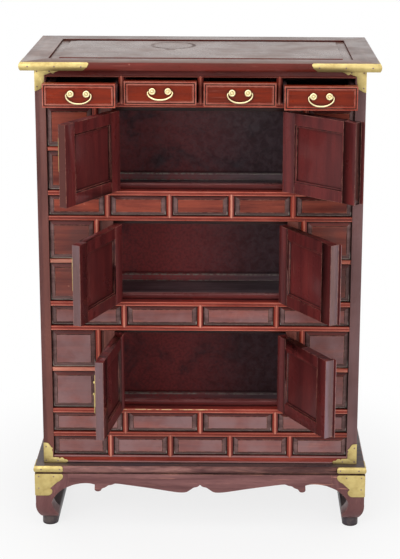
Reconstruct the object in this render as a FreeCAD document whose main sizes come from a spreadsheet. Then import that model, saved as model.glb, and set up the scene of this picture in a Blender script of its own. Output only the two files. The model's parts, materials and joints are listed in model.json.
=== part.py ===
import FreeCAD, Part
import Sketcher
import math
import os

# A three tier Korean chest on a bracket-footed stand: four drawers, three pairs of doors,
# rows of fielded panels set in a lattice of beaded rails, and brass mounts.
# Millimetres, +Z up. The origin is on the floor under the middle of the case;
# the front of the case faces -Y.

doc = FreeCAD.newDocument("chest")
sheet = doc.addObject("Spreadsheet::Sheet", "sizes")

# Driving sizes, one row of the sheet each
driving_sizes = {
    # case
    "case_width": 700,
    "case_depth": 355,
    "post_width": 23,
    "post_depth": 30,
    "back_post_depth": 24,
    "rail_depth": 38,
    "slim_rail": 11,
    "base_rail": 18,
    "top_rail": 18,
    "row_height": 45,
    "tier_height": 182,
    "drawer_opening_height": 53,
    "side_panel_thickness": 9,
    "side_panel_recess": 6,
    "back_panel_thickness": 7,
    "back_panel_recess": 4,
    # lattice of rails and muntins
    "muntin_width": 12.5,
    "muntin_depth": 20,
    "muntin_bow": 2.2,
    "muntin_tip": 4,
    "bead_radius": 2.1,
    "bead_dip": 1.1,
    "jamb_stile_width": 29.5,
    "flank_rail": 8.5,
    "stile_groove": 6.5,
    "stile_groove_depth": 5,
    "panel_recess": 3,
    "panel_thickness": 9,
    "panel_field_rise": 0.9,
    "panel_slope_rise": 2.4,
    "row_panel_side_margin": 11,
    "row_panel_edge_margin": 7.5,
    "flank_panel_margin": 10,
    # doors
    "door_opening_half": 188,
    "door_thickness": 18,
    "door_top_gap": 4,
    "door_bottom_gap": 5,
    "door_meeting_gap": 1,
    "door_stile": 31,
    "door_rail": 25,
    "door_panel_thickness": 9,
    "door_panel_front_recess": 4,
    "door_bead_width": 4,
    "door_bead_thickness": 3,
    "door_stop_gap": 1,
    "door_stop_height": 11,
    "door_stop_depth": 17,
    "astragal_width": 17,
    "astragal_overlap": 8,
    "astragal_thickness": 5,
    "astragal_gap": 2,
    "astragal_round": 1.5,
    # hinges
    "hinge_gap": 2,
    "hinge_leaf_thickness": 0.8,
    "hinge_leaf_depth": 14,
    "hinge_height": 36,
    "hinge_end_distance": 22,
    "knuckle_radius": 2.6,
    "knuckle_stand_off": 2.8,
    "knuckle_split": 0.4,
    "body_gap": 0.3,
    "knuckle_arm_start": 1.75,
    "hinge_pin_radius": 1.2,
    "hinge_pin_clearance": 0.05,
    # drawers
    "drawer_gap": 1.5,
    "drawer_bottom_clearance": 0.5,
    "drawer_front_thickness": 18,
    "drawer_border": 8,
    "drawer_border_rise": 1.6,
    "drawer_side_thickness": 8,
    "drawer_side_height": 40,
    "drawer_bottom_thickness": 5,
    "drawer_bottom_lift": 4,
    "drawer_length": 292,
    "side_guide_height": 20,
    # top
    "top_overhang_front": 28,
    "top_overhang_side": 28,
    "top_overhang_back": 12,
    "top_thickness": 18,
    "top_member_width": 55,
    "top_edge_bow": 3,
    "top_groove_width": 20,
    "top_groove_depth": 4,
    "top_field_drop": 1,
    "top_panel_thickness": 12,
    # stand
    "stand_height": 150,
    "stand_overhang_front": 21,
    "stand_overhang_side": 20,
    "stand_overhang_back": 10,
    "ledge_height": 19,
    "ledge_member_width": 62,
    "ledge_groove": 4,
    "ledge_groove_depth": 3,
    "ledge_nose_bow": 2.5,
    "apron_thickness": 20,
    "apron_set_back": 2,
    "leg_bracket_width": 76,
    "leg_shank_width": 37,
    "leg_shank_height": 62,
    "leg_arch_height": 100,
    "leg_ankle_inset": 13,
    "leg_toe_width": 50,
    "leg_toe_height": 32,
    "leg_ankle_rise": 4,
    "leg_toe_rise": 1.2,
    "leg_shin_rise": 2,
    "leg_arch_rise": 6,
    "apron_curve": 3,
    "apron_hollow": 1.6,
    "foot_height": 24,
    "runner_width": 35,
    "arch_height": 114,
    "hook_height": 95,
    "cusp_height": 112,
    "centre_cusp_height": 109,
    "centre_lobe_height": 91,
    # brass
    "plate_thickness": 1.2,
    "strap_length": 147,
    "strap_return": 60,
    "bracket_leg": 11,
    "bracket_arm": 20,
    "bracket_across": 53,
    "bracket_up": 48,
    "ledge_plate_length": 65,
    "ledge_plate_return": 40,
    "scallop_rise": 2,
    "leg_plate_width": 62,
    "leg_plate_height": 52,
    "nail_radius": 1.7,
    "nail_head": 0.8,
    # bail handles of the drawers
    "bail_reach": 26.2,
    "bail_drop": 21.5,
    "bail_wire_radius": 1.7,
    "bail_corner_radius": 16,
    "bail_turn_radius": 3,
    "bail_height_above_middle": 5,
    "post_spacing": 33,
    "post_half": 2.7,
    "post_length": 6.6,
    "post_axis_stand_off": 4.2,
    "cap_radius": 7.6,
    "cap_face_radius": 6,
    "cap_disc_depth": 1.8,
    "cap_step_depth": 1,
    "cap_nub_depth": 0.6,
    "cap_nub_radius": 1.5,
    "pin_clearance": 0.06,
    # drop pulls and lock plates of the doors
    "lock_plate_width": 25,
    "lock_plate_height": 70,
    "lock_plate_edge_distance": 1,
    "lock_plate_below_pull": 22,
    "lock_stud_above_pull": 26,
    "lock_stud_radius": 3,
    "lock_stud_length": 7,
    "pull_edge_distance": 16,
    "pull_reach": 5,
    "pull_drop": 42,
    "pull_wire_radius": 1.3,
    "pull_corner_radius": 4.5,
    "pull_turn_radius": 1.8,
    "pull_post_half": 1.9,
    "pull_cap_radius": 3,
    "pull_cap_thickness": 1.6,
    "pull_height_above_middle": 10,
    # cutting overrun
    "overrun": 5,
}

# How far each door and drawer stands open at rest, and how far one bail is lifted
open_angles = {
    "door_upper_left_angle": 122,
    "door_upper_right_angle": 141,
    "door_middle_left_angle": 113.5,
    "door_middle_right_angle": 123,
    "door_lower_left_angle": 99.5,
    "door_lower_right_angle": 121,
    "lifted_bail_angle": 42,
}
pulled_out = {
    "drawer_one_out": 75,
    "drawer_two_out": 40,
    "drawer_three_out": 54,
    "drawer_four_out": 89,
}


class Size:
    """A length that carries the sheet formula it is worked out from."""

    def __init__(self, number, formula):
        self.number = float(number)
        self.formula = formula

    def joined(self, other, sign, number):
        return Size(number, f"({self.formula} {sign} {as_size(other).formula})")

    def __add__(self, other):
        return self.joined(other, "+", self.number + as_size(other).number)

    def __sub__(self, other):
        return self.joined(other, "-", self.number - as_size(other).number)

    def __mul__(self, other):
        return self.joined(other, "*", self.number * as_size(other).number)

    def __truediv__(self, other):
        return self.joined(other, "/", self.number / as_size(other).number)

    def __neg__(self):
        return Size(-self.number, f"(-1 * {self.formula})")


def as_size(value):
    return value if isinstance(value, Size) else Size(value, repr(float(value)))


size = {}
for row, (alias, value) in enumerate({**driving_sizes, **open_angles, **pulled_out}.items(), start=1):
    sheet.set(f"A{row}", alias.replace("_", " "))
    sheet.set(f"B{row}", str(value))
    sheet.setAlias(f"B{row}", alias)
    size[alias] = Size(value, f"sizes.{alias}")
doc.recompute()

zero = Size(0, "0")


def low_high(one, other):
    return (one, other) if one.number <= other.number else (other, one)


def move(thing, x=zero, y=zero, z=zero):
    """Place an object at sheet-bound coordinates."""
    for axis, value in zip("xyz", (x, y, z)):
        thing.setExpression("Placement.Base." + axis, value.formula)


def board(name, x, y, z):
    """A straight board between two places along each axis."""
    box = doc.addObject("Part::Box", name)
    spans = [low_high(*pair) for pair in (x, y, z)]
    for side, (low, high) in zip(("Length", "Width", "Height"), spans):
        box.setExpression(side, (high - low).formula)
    move(box, *[low for low, high in spans])
    return box


# Sketch planes: how each is turned, and which way a pad on it grows
plane_turns = {
    "XY": FreeCAD.Rotation(),
    "XZ": FreeCAD.Rotation(FreeCAD.Vector(1, 0, 0), 90),
    "YZ": FreeCAD.Rotation(0.5, 0.5, 0.5, 0.5),
}
pad_directions = {
    "XY": FreeCAD.Vector(0, 0, 1),
    "XZ": FreeCAD.Vector(0, 1, 0),
    "YZ": FreeCAD.Vector(1, 0, 0),
}
body_planes = {"XY": "XY_Plane", "XZ": "XZ_Plane", "YZ": "YZ_Plane"}


def bind(sketch, constraint, value):
    index = sketch.addConstraint(constraint)
    sketch.setExpression(f"Constraints[{index}]", value.formula)


def draw(sketch, points, closed=True):
    """Draw an outline of lines and arcs. A point is (u, v), or (u, v, rise) where the edge after it
    is an arc that rises to the right of its chord."""
    count = len(points)
    edges = count if closed else count - 1
    for index in range(edges):
        here = points[index]
        after = points[(index + 1) % count]
        start = FreeCAD.Vector(here[0].number, here[1].number, 0)
        end = FreeCAD.Vector(after[0].number, after[1].number, 0)
        if is_arc(here):
            chord = end - start
            side = FreeCAD.Vector(chord.y, -chord.x, 0).normalize()
            middle = (start + end) * 0.5 + side * here[2].number
            sketch.addGeometry(Part.Arc(start, middle, end))
        else:
            sketch.addGeometry(Part.LineSegment(start, end))
    ends = [edge_ends(sketch, index, points[index]) for index in range(edges)]
    for index in range(edges):
        first_end = ends[index][0]
        bind(sketch, Sketcher.Constraint("DistanceX", -1, 1, index, first_end, points[index][0].number),
             points[index][0])
        bind(sketch, Sketcher.Constraint("DistanceY", -1, 1, index, first_end, points[index][1].number),
             points[index][1])
        if closed or index < edges - 1:
            following = (index + 1) % edges
            sketch.addConstraint(
                Sketcher.Constraint("Coincident", index, ends[index][1], following, ends[following][0]))
    if not closed:
        last = points[-1]
        bind(sketch, Sketcher.Constraint("DistanceX", -1, 1, edges - 1, ends[-1][1], last[0].number), last[0])
        bind(sketch, Sketcher.Constraint("DistanceY", -1, 1, edges - 1, ends[-1][1], last[1].number), last[1])
    for index in range(edges):
        here = points[index]
        if is_arc(here):
            after = points[(index + 1) % count]
            across = after[0] - here[0]
            up = after[1] - here[1]
            rise = here[2] if here[2].number > 0 else -here[2]
            radius = (across * across + up * up) / (rise * 8) + rise / 2
            bind(sketch, Sketcher.Constraint("Radius", index, radius.number), radius)


def is_arc(point):
    return len(point) > 2 and bool(point[2])


def edge_ends(sketch, index, point):
    """Which end of the drawn edge is its first and which its last: arcs always run anticlockwise."""
    if not is_arc(point):
        return (1, 2)
    start = sketch.getPoint(index, 1)
    here = FreeCAD.Vector(point[0].number, point[1].number, 0)
    return (1, 2) if start.isEqual(here, 1e-6) else (2, 1)


def outline_sketch(name, plane, points, closed=True):
    sketch = doc.addObject("Sketcher::SketchObject", name)
    sketch.Placement = FreeCAD.Placement(FreeCAD.Vector(), plane_turns[plane])
    draw(sketch, points, closed)
    return sketch


def extruded(name, plane, points, low, high):
    """An outline made solid between two places along the third axis."""
    sketch = outline_sketch(name + "_outline", plane, points)
    axis = {"XY": "z", "XZ": "y", "YZ": "x"}[plane]
    sketch.setExpression("Placement.Base." + axis, low.formula)
    solid = doc.addObject("Part::Extrusion", name)
    solid.Base = sketch
    solid.DirMode = "Custom"
    solid.Dir = pad_directions[plane]
    solid.Solid = True
    solid.setExpression("LengthFwd", (high - low).formula)
    return solid


def padded_body(name, plane, points, low, high):
    """A board cut to an outline: a body with one sketch and one pad."""
    body = doc.addObject("PartDesign::Body", name)
    origin_plane = [f for f in body.Origin.OriginFeatures if f.Role == body_planes[plane]][0]
    sketch = body.newObject("Sketcher::SketchObject", name + "_sketch")
    sketch.AttachmentSupport = [(origin_plane, "")]
    sketch.MapMode = "FlatFace"
    draw(sketch, points)
    pad = body.newObject("PartDesign::Pad", name + "_pad")
    pad.Profile = sketch
    pad.Reversed = plane == "XZ"
    pad.setExpression("Length", (high - low).formula)
    body.Tip = pad
    axis = {"XY": "z", "XZ": "y", "YZ": "x"}[plane]
    body.setExpression("Placement.Base." + axis, low.formula)
    return body


def cut(name, base, tools):
    result = base
    for index, tool in enumerate(tools):
        step = doc.addObject("Part::Cut", f"{name}_cut{index}")
        step.Base = result
        step.Tool = tool
        result = step
    return result


def common(name, base, tool):
    result = doc.addObject("Part::Common", name)
    result.Base = base
    result.Tool = tool
    return result


def fused(name, members):
    result = doc.addObject("Part::MultiFuse", name)
    result.Shapes = members
    return result


nodes = []


def node(label, members):
    """One named sub-part of the chest, holding one solid or a group of separate ones."""
    group = doc.addObject("Part::Compound", label)
    group.Links = members
    group.Label = label
    nodes.append(group)
    return group


def turned_node(label, members, x, y, z, angle, axis="0; 0; 1"):
    """A sub-part modelled about its own hinge line, then placed there and set open."""
    group = node(label, members)
    place = f"vector({x.formula}; {y.formula}; {z.formula})"
    group.setExpression("Placement", f"placement({place}; rotation(vector({axis}); {angle.formula}))")
    return group


def mirrored_outline(points):
    """The same outline on the other side of the middle, with its edges kept in order."""
    count = len(points)
    flipped = []
    for index in range(count):
        here = points[count - 1 - index]
        before = points[(count - 2 - index) % count]
        rise = before[2] if is_arc(before) else 0
        flipped.append((-here[0], here[1], rise))
    return flipped


# Places worked out from the driving sizes
half_width = size["case_width"] / 2
half_depth = size["case_depth"] / 2
front = -half_depth
back = half_depth
post_inner = half_width - size["post_width"]
muntin = size["muntin_width"]
slim = size["slim_rail"]

z_case = size["stand_height"]
z_base_top = z_case + size["base_rail"]
z_row_four_top = z_base_top + size["row_height"]
z_row_three = z_row_four_top + slim
z_row_three_top = z_row_three + size["row_height"]
z_tier_three = z_row_three_top + slim
z_tier_three_top = z_tier_three + size["tier_height"]
z_row_two = z_tier_three_top + slim
z_row_two_top = z_row_two + size["row_height"]
z_tier_two = z_row_two_top + slim
z_tier_two_top = z_tier_two + size["tier_height"]
z_row_one = z_tier_two_top + slim
z_row_one_top = z_row_one + size["row_height"]
z_tier_one = z_row_one_top + slim
z_tier_one_top = z_tier_one + size["tier_height"]
z_drawer = z_tier_one_top + slim
z_drawer_top = z_drawer + size["drawer_opening_height"]
z_case_top = z_drawer_top + size["top_rail"]
z_top = z_case_top + size["top_thickness"]


def grid_centres(panels):
    """Centres of the muntins that part a row into equal panels."""
    panel = (post_inner * 2 - muntin * (panels - 1)) / panels
    pitch = panel + muntin
    return [-post_inner + pitch * (index + 1) - muntin / 2 for index in range(panels - 1)]


# Fielded panels
def set_wedge(wedge, bounds):
    """Give a wedge all its bounds, the high ones first so that it is never inside out."""
    for key in sorted(bounds, key=lambda name: "min" in name):
        setattr(wedge, key, bounds[key].number)
    for key, value in bounds.items():
        wedge.setExpression(key, value.formula)


def fielded_panel(name, x, z, face, thickness, side_margin, edge_margin):
    """A panel facing -Y whose flat field stands above sloping margins that run down to its edges."""
    field_rise = size["panel_field_rise"]
    slope_rise = size["panel_slope_rise"]
    slope_front = face + field_rise
    board_front = slope_front + slope_rise
    backing = board(name + "_back", x, (board_front, face + thickness), z)
    slope = doc.addObject("Part::Wedge", name + "_slope")
    bounds = {
        "Xmin": x[0] + side_margin, "Xmax": x[1] - side_margin, "Zmin": z[0] + edge_margin,
        "Zmax": z[1] - edge_margin, "Ymin": slope_front, "Ymax": board_front,
        "X2min": x[0], "X2max": x[1], "Z2min": z[0], "Z2max": z[1],
    }
    set_wedge(slope, bounds)
    inset = field_rise / 2
    field = board(name + "_field", (x[0] + side_margin + inset, x[1] - side_margin - inset),
                  (face, slope_front), (z[0] + edge_margin + inset, z[1] - edge_margin - inset))
    return fused(name, [backing, slope, field])


# Beaded rails across the front
bead_shoulder_share = 0.9
bead_slope_share = 0.55


def rail_profile(low, high, bead, depth):
    """Section of a front rail: a bead along each edge and a shallow flat between."""
    dip = front + size["bead_dip"]
    shoulder = front + bead * bead_shoulder_share
    slope = bead * bead_slope_share
    return [
        (shoulder, low), (front, low + slope), (front, low + bead * 2 - slope), (dip, low + bead * 2),
        (dip, high - bead * 2), (front, high - bead * 2 + slope), (front, high - slope), (shoulder, high),
        (front + depth, high), (front + depth, low),
    ]


def notch(name, centre, level, direction):
    """The V that a muntin's pointed end is let into."""
    half = muntin / 2
    tip = level + size["muntin_tip"] * direction
    mouth = level - size["overrun"] * direction
    corners = [(centre - half, mouth), (centre + half, mouth), (centre + half, level),
               (centre, tip), (centre - half, level)]
    return extruded(name, "XZ", corners, front - size["overrun"], front + size["muntin_depth"])


def front_rail(name, low, high, under, over):
    """A rail from post to post, notched for the muntins below and above it."""
    rail = extruded(name, "YZ", rail_profile(low, high, size["bead_radius"], size["rail_depth"]),
                    -post_inner, post_inner)
    notches = [notch(f"{name}_under{index}", centre, low, 1) for index, centre in enumerate(under)]
    notches += [notch(f"{name}_over{index}", centre, high, -1) for index, centre in enumerate(over)]
    if not notches:
        return rail
    return cut(name, rail, [fused(name + "_notches", notches)] if len(notches) > 1 else notches)


bow_flat_share = 0.45


def muntin_bar(name, centre, low, high):
    """An upright bar with a bowed front whose pointed ends enter the rails above and below."""
    half = muntin / 2
    bow = size["muntin_bow"]
    shoulder = front + bow
    back_face = front + size["muntin_depth"]
    tip = size["muntin_tip"]
    flat = half * bow_flat_share
    section = [(centre - half, back_face), (centre - half, shoulder), (centre - flat, front),
               (centre + flat, front), (centre + half, shoulder), (centre + half, back_face)]
    bar = extruded(name + "_bar", "XY", section, low - tip, high + tip)
    pointed = [(centre, low - tip), (centre + half, low), (centre + half, high), (centre, high + tip),
               (centre - half, high), (centre - half, low)]
    blank = extruded(name + "_points", "XZ", pointed, front - size["overrun"], back_face + size["overrun"])
    return common(name, bar, blank)


row_four = grid_centres(5)
row_three = grid_centres(4)
stile_outer = size["door_opening_half"] + size["jamb_stile_width"]
flank_inner = stile_outer + muntin
flank_muntin_centre = stile_outer + muntin / 2
flank_centres = [-flank_muntin_centre, flank_muntin_centre]
rail_plan = [
    ("rail_base", z_case, z_base_top, [], row_four),
    ("rail_low", z_row_four_top, z_row_three, row_four, row_three),
    ("rail_sill_three", z_row_three_top, z_tier_three, row_three, flank_centres),
    ("rail_head_three", z_tier_three_top, z_row_two, flank_centres, row_three),
    ("rail_sill_two", z_row_two_top, z_tier_two, row_three, flank_centres),
    ("rail_head_two", z_tier_two_top, z_row_one, flank_centres, row_four),
    ("rail_sill_one", z_row_one_top, z_tier_one, row_four, flank_centres),
    ("rail_head_one", z_tier_one_top, z_drawer, flank_centres, row_three),
    ("rail_top", z_drawer_top, z_case_top, row_three, []),
]
node("front_rails", [front_rail(*plan) for plan in rail_plan])

rows = [
    ("row_four", row_four, z_base_top, z_row_four_top),
    ("row_three", row_three, z_row_three, z_row_three_top),
    ("row_two", row_three, z_row_two, z_row_two_top),
    ("row_one", row_four, z_row_one, z_row_one_top),
]
tiers = [
    ("upper", z_tier_one, z_tier_one_top, z_row_one),
    ("middle", z_tier_two, z_tier_two_top, z_row_two),
    ("lower", z_tier_three, z_tier_three_top, z_base_top),
]
uprights = []
panels = []
for name, centres, low, high in rows + [("drawer_row", row_three, z_drawer, z_drawer_top)]:
    for index, centre in enumerate(centres):
        uprights.append(muntin_bar(f"{name}_muntin{index}", centre, low, high))
    if name == "drawer_row":
        continue
    edges = [-post_inner] + [c for centre in centres for c in (centre - muntin / 2, centre + muntin / 2)]
    edges.append(post_inner)
    for index in range(len(edges) // 2):
        panels.append(fielded_panel(
            f"{name}_panel{index}", (edges[2 * index], edges[2 * index + 1]), (low, high),
            front + size["panel_recess"], size["panel_thickness"],
            size["row_panel_side_margin"], size["row_panel_edge_margin"]))

# Flanks of the tiers, left and right of the doors
stile_shoulder = stile_outer - size["stile_groove"]
stiles = []
stops = []
for name, low, high, floor in tiers:
    middle = (low + high) / 2
    for side in (-1, 1):
        word = "left" if side < 0 else "right"
        label = f"{name}_{word}"
        uprights.append(muntin_bar(f"{label}_muntin", flank_muntin_centre * side, low, high))
        span = low_high(flank_inner * side, post_inner * side)
        half_rail = size["flank_rail"] / 2
        uprights.append(board(f"{label}_flank_rail", span,
                              (front + size["bead_dip"], front + size["muntin_depth"]),
                              (middle - half_rail, middle + half_rail)))
        for part, bottom, top in (("low", low, middle - half_rail), ("high", middle + half_rail, high)):
            panels.append(fielded_panel(
                f"{label}_{part}_panel", span, (bottom, top), front + size["panel_recess"],
                size["panel_thickness"], size["flank_panel_margin"], size["flank_panel_margin"]))
        stile_face = board(f"{label}_stile_face", (size["door_opening_half"] * side, stile_shoulder * side),
                           (front, front + size["muntin_depth"]), (low, high))
        stile_edge = board(f"{label}_stile_edge", (stile_shoulder * side, stile_outer * side),
                           (front + size["stile_groove_depth"], front + size["muntin_depth"]), (low, high))
        stiles.append(fused(f"{label}_stile", [stile_face, stile_edge]))
    stop_front = front + size["door_thickness"] + size["door_stop_gap"]
    stop_span = (-size["door_opening_half"], size["door_opening_half"])
    stop_depth = (stop_front, stop_front + size["door_stop_depth"])
    stops.append(board(f"{name}_sill_stop", stop_span, stop_depth, (low, low + size["door_stop_height"])))
    stops.append(board(f"{name}_head_stop", stop_span, stop_depth, (high - size["door_stop_height"], high)))
node("lattice_uprights", uprights)
node("fielded_panels", panels)
node("door_jamb_stiles", stiles)
node("door_stops", stops)

# Corner posts
posts = []
for side in (-1, 1):
    for name, near, far in (("front", front, front + size["post_depth"]),
                            ("back", back - size["back_post_depth"], back)):
        posts.append(board(f"{name}_post_{'left' if side < 0 else 'right'}",
                           (post_inner * side, half_width * side), (near, far), (z_case, z_case_top)))
node("corner_posts", posts)

# Side and back framing, panels and floors
back_inner = back - size["back_panel_recess"] - size["back_panel_thickness"]
side_levels = [
    (z_case, z_base_top), (z_tier_three_top, z_row_two), (z_tier_two_top, z_row_one),
    (z_tier_one_top, z_drawer), (z_drawer_top, z_case_top),
]
carcase_rails = []
side_panels = []
back_panels = []
side_depth = (front + size["post_depth"], back - size["back_post_depth"])
for side in (-1, 1):
    word = "left" if side < 0 else "right"
    for index, (low, high) in enumerate(side_levels):
        carcase_rails.append(board(f"side_rail_{word}{index}", (post_inner * side, half_width * side),
                                   side_depth, (low, high)))
    outer = half_width - size["side_panel_recess"]
    inner = outer - size["side_panel_thickness"]
    for index in range(len(side_levels) - 1):
        side_panels.append(board(f"side_panel_{word}{index}", (inner * side, outer * side), side_depth,
                                 (side_levels[index][1], side_levels[index + 1][0])))
for index, (low, high) in enumerate(side_levels):
    carcase_rails.append(board(f"back_rail{index}", (-post_inner, post_inner), (back_inner, back),
                               (low, high)))
for index in range(len(side_levels) - 1):
    back_panels.append(board(f"back_panel{index}", (-post_inner, post_inner),
                             (back_inner, back_inner + size["back_panel_thickness"]),
                             (side_levels[index][1], side_levels[index + 1][0])))
node("carcase_rails", carcase_rails)
node("side_panels", side_panels)
node("back_panels", back_panels)

floor_depth = (front + size["rail_depth"], back_inner)
floors = []
for name, top in (("lower", z_base_top), ("middle", z_row_two), ("upper", z_row_one), ("drawer", z_drawer)):
    floors.append(board(f"{name}_floor", (-post_inner, post_inner), floor_depth, (top - slim, top)))
node("floor_boards", floors)

# Drawer guides: partitions between the drawers and a strip beside each outer one
guides = []
for index, centre in enumerate(row_three):
    guides.append(board(f"partition{index}", (centre - muntin / 2, centre + muntin / 2),
                        (front + size["rail_depth"], back_inner), (z_drawer, z_drawer_top)))
for side in (-1, 1):
    guides.append(board(f"side_guide_{'left' if side < 0 else 'right'}",
                        (post_inner * side, (half_width - size["side_panel_recess"]
                                             - size["side_panel_thickness"]) * side),
                        side_depth, (z_drawer, z_drawer + size["side_guide_height"])))
node("drawer_guides", guides)


# Mitred frames: the top board and the ledge of the stand
def turned_rise(rise, sign):
    """The rise of an arc in an outline that is laid out from the opposite side."""
    return rise if sign > 0 or not rise else -rise


def mitred_frame(name, left, right, near, far, width, section):
    """Four members with one section, mitred at the corners. The section is given for the front
    member as (distance in from the outer edge, height, rise of the arc after it or 0)."""
    members = []
    for word, sign, edge in (("front", 1, near), ("back", -1, far)):
        profile = [(edge + u * sign, v, turned_rise(rise, sign)) for u, v, rise in section]
        bar = extruded(f"{name}_{word}_bar", "YZ", profile, left, right)
        plan = [(left, edge), (right, edge), (right - width, edge + width * sign),
                (left + width, edge + width * sign)]
        blank = extruded(f"{name}_{word}_plan", "XY", plan, section_low(section) - size["overrun"],
                         section_high(section) + size["overrun"])
        members.append(common(f"{name}_{word}", bar, blank))
    for word, sign, edge in (("left", 1, left), ("right", -1, right)):
        profile = [(edge + u * sign, v, turned_rise(rise, sign)) for u, v, rise in section]
        bar = extruded(f"{name}_{word}_bar", "XZ", profile, near, far)
        plan = [(edge, near), (edge + width * sign, near + width), (edge + width * sign, far - width),
                (edge, far)]
        blank = extruded(f"{name}_{word}_plan", "XY", plan, section_low(section) - size["overrun"],
                         section_high(section) + size["overrun"])
        members.append(common(f"{name}_{word}", bar, blank))
    return members


def section_low(section):
    return min((point[1] for point in section), key=lambda value: value.number)


def section_high(section):
    return max((point[1] for point in section), key=lambda value: value.number)


top_left = -half_width - size["top_overhang_side"]
top_right = half_width + size["top_overhang_side"]
top_near = front - size["top_overhang_front"]
top_far = back + size["top_overhang_back"]
edge_bow = size["top_edge_bow"]
member = size["top_member_width"]
top_section = [(edge_bow, z_case_top, -edge_bow), (edge_bow, z_top, 0), (member, z_top, 0),
               (member, z_case_top, 0)]
node("top_frame", mitred_frame("top", top_left, top_right, top_near, top_far, member, top_section))

# Top panel: a sunk margin round a raised field, built facing -Y and turned to face up
panel_x = (top_left + member, top_right - member)
panel_y = (top_near + member, top_far - member)
groove = size["top_groove_width"]
field_top = z_top - size["top_field_drop"]
groove_bottom = z_top - size["top_groove_depth"]
panel_under = groove_bottom - size["top_panel_thickness"] + size["top_groove_depth"]
sunk = board("top_panel_sunk", panel_x, panel_y, (panel_under, groove_bottom))
raised = board("top_panel_raised", (panel_x[0] + groove, panel_x[1] - groove),
               (panel_y[0] + groove, panel_y[1] - groove), (groove_bottom, field_top))
node("top_panel", [fused("top_panel_board", [sunk, raised])])

# Stand: ledge, aprons, legs and runners
stand_left = -half_width - size["stand_overhang_side"]
stand_right = half_width + size["stand_overhang_side"]
stand_near = front - size["stand_overhang_front"]
stand_far = back + size["stand_overhang_back"]
z_ledge = size["stand_height"] - size["ledge_height"]
z_groove_top = z_ledge + size["ledge_groove"]
nose = size["ledge_nose_bow"]
ledge_width = size["ledge_member_width"]
ledge_section = [
    (size["ledge_groove_depth"], z_ledge, 0), (size["ledge_groove_depth"], z_groove_top, 0),
    (nose, z_groove_top, -nose), (nose, z_case, 0), (ledge_width, z_case, 0), (ledge_width, z_ledge, 0),
]
node("stand_ledge", mitred_frame("ledge", stand_left, stand_right, stand_near, stand_far,
                                 ledge_width, ledge_section))

apron_half = stand_right - size["leg_bracket_width"]
arch_end_share = 0.868
hook_outer_share = 0.80
hook_inner_share = 0.772
ogee_share = 0.706
cusp_share = 0.646
lobe_outer_share = 0.165
lobe_share = 0.13
lobe_inner_share = 0.068


def apron_outline():
    """Front apron, half of it from the leg to the middle and then the same back again."""
    arch = size["arch_height"]
    hook = size["hook_height"]
    cusp = size["cusp_height"]
    lobe = size["centre_lobe_height"]
    centre = size["centre_cusp_height"]
    curve = size["apron_curve"]
    hollow = size["apron_hollow"]
    right_half = [
        (apron_half, z_ledge, 0),
        (zero, z_ledge, 0),
        (zero, centre, hollow),
        (apron_half * lobe_inner_share, (centre + lobe) / 2, -curve),
        (apron_half * lobe_share, lobe, -curve / 4),
        (apron_half * lobe_outer_share, lobe, 0),
        (apron_half * cusp_share, cusp, hollow),
        (apron_half * ogee_share, (cusp + hook) / 2, -curve),
        (apron_half * hook_inner_share, hook, -curve / 3),
        (apron_half * hook_outer_share, hook + (arch - hook) / 3, 0),
        (apron_half * hook_outer_share, arch, hollow / 2),
        (apron_half * arch_end_share, arch, hollow),
        (apron_half, size["leg_arch_height"], 0),
    ]
    return right_half


def side_apron_outline(half):
    """A shorter apron with one arch and a hook at each end, for the sides and the back."""
    arch = size["arch_height"]
    return [
        (half, z_ledge, 0), (zero, z_ledge, 0), (zero, arch, 0),
        (half * cusp_share, arch, size["apron_hollow"]), (half, size["leg_arch_height"], 0),
    ]


def moved_outline(points, shift):
    return [(point[0] + shift,) + tuple(point[1:]) for point in points]


apron_near = stand_near + size["apron_set_back"]
apron_far = stand_far - size["apron_set_back"]
side_half = (apron_far - apron_near) / 2 - size["leg_bracket_width"] + size["apron_set_back"]
side_middle = (stand_near + stand_far) / 2
aprons = []
for word, mirror in (("right", False), ("left", True)):
    outline = apron_outline()
    plain = side_apron_outline(apron_half)
    if mirror:
        outline = mirrored_outline(outline)
        plain = mirrored_outline(plain)
    aprons.append(padded_body(f"front_apron_{word}", "XZ", outline, apron_near,
                              apron_near + size["apron_thickness"]))
    aprons.append(padded_body(f"back_apron_{word}", "XZ", plain, apron_far - size["apron_thickness"],
                              apron_far))
front_apron = fused("front_apron", [aprons[0], aprons[2]])
back_apron = fused("back_apron", [aprons[1], aprons[3]])
side_aprons = []
for word, low in (("left", stand_left + size["apron_set_back"]),
                  ("right", stand_right - size["apron_set_back"] - size["apron_thickness"])):
    halves = []
    for end, mirror in (("far", False), ("near", True)):
        outline = side_apron_outline(side_half)
        if mirror:
            outline = mirrored_outline(outline)
        halves.append(padded_body(f"side_apron_{word}_{end}", "YZ", moved_outline(outline, side_middle),
                                  low, low + size["apron_thickness"]))
    side_aprons.append(fused(f"side_apron_{word}", halves))
node("stand_aprons", [front_apron, back_apron] + side_aprons)


def leg_outline(place):
    """Front view of a bracket leg; place turns a distance in from the corner into a coordinate."""
    bracket = size["leg_bracket_width"]
    foot = size["foot_height"]
    return [
        (place(size["apron_set_back"]), z_ledge, 0),
        (place(size["apron_set_back"]), size["leg_shank_height"], size["leg_ankle_rise"]),
        (place(size["leg_ankle_inset"]), foot, 0),
        (place(size["leg_toe_width"]), foot, size["leg_toe_rise"]),
        (place(size["leg_toe_width"]), size["leg_toe_height"], -size["leg_shin_rise"]),
        (place(size["leg_shank_width"]), size["leg_shank_height"], -size["leg_arch_rise"]),
        (place(bracket), size["leg_arch_height"], 0),
        (place(bracket), z_ledge, 0),
    ]


def facing(points, sign):
    """Flip the arcs of an outline that was laid out from the opposite corner."""
    return [(u, v, turned_rise(rise, sign)) for u, v, rise in points]


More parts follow.
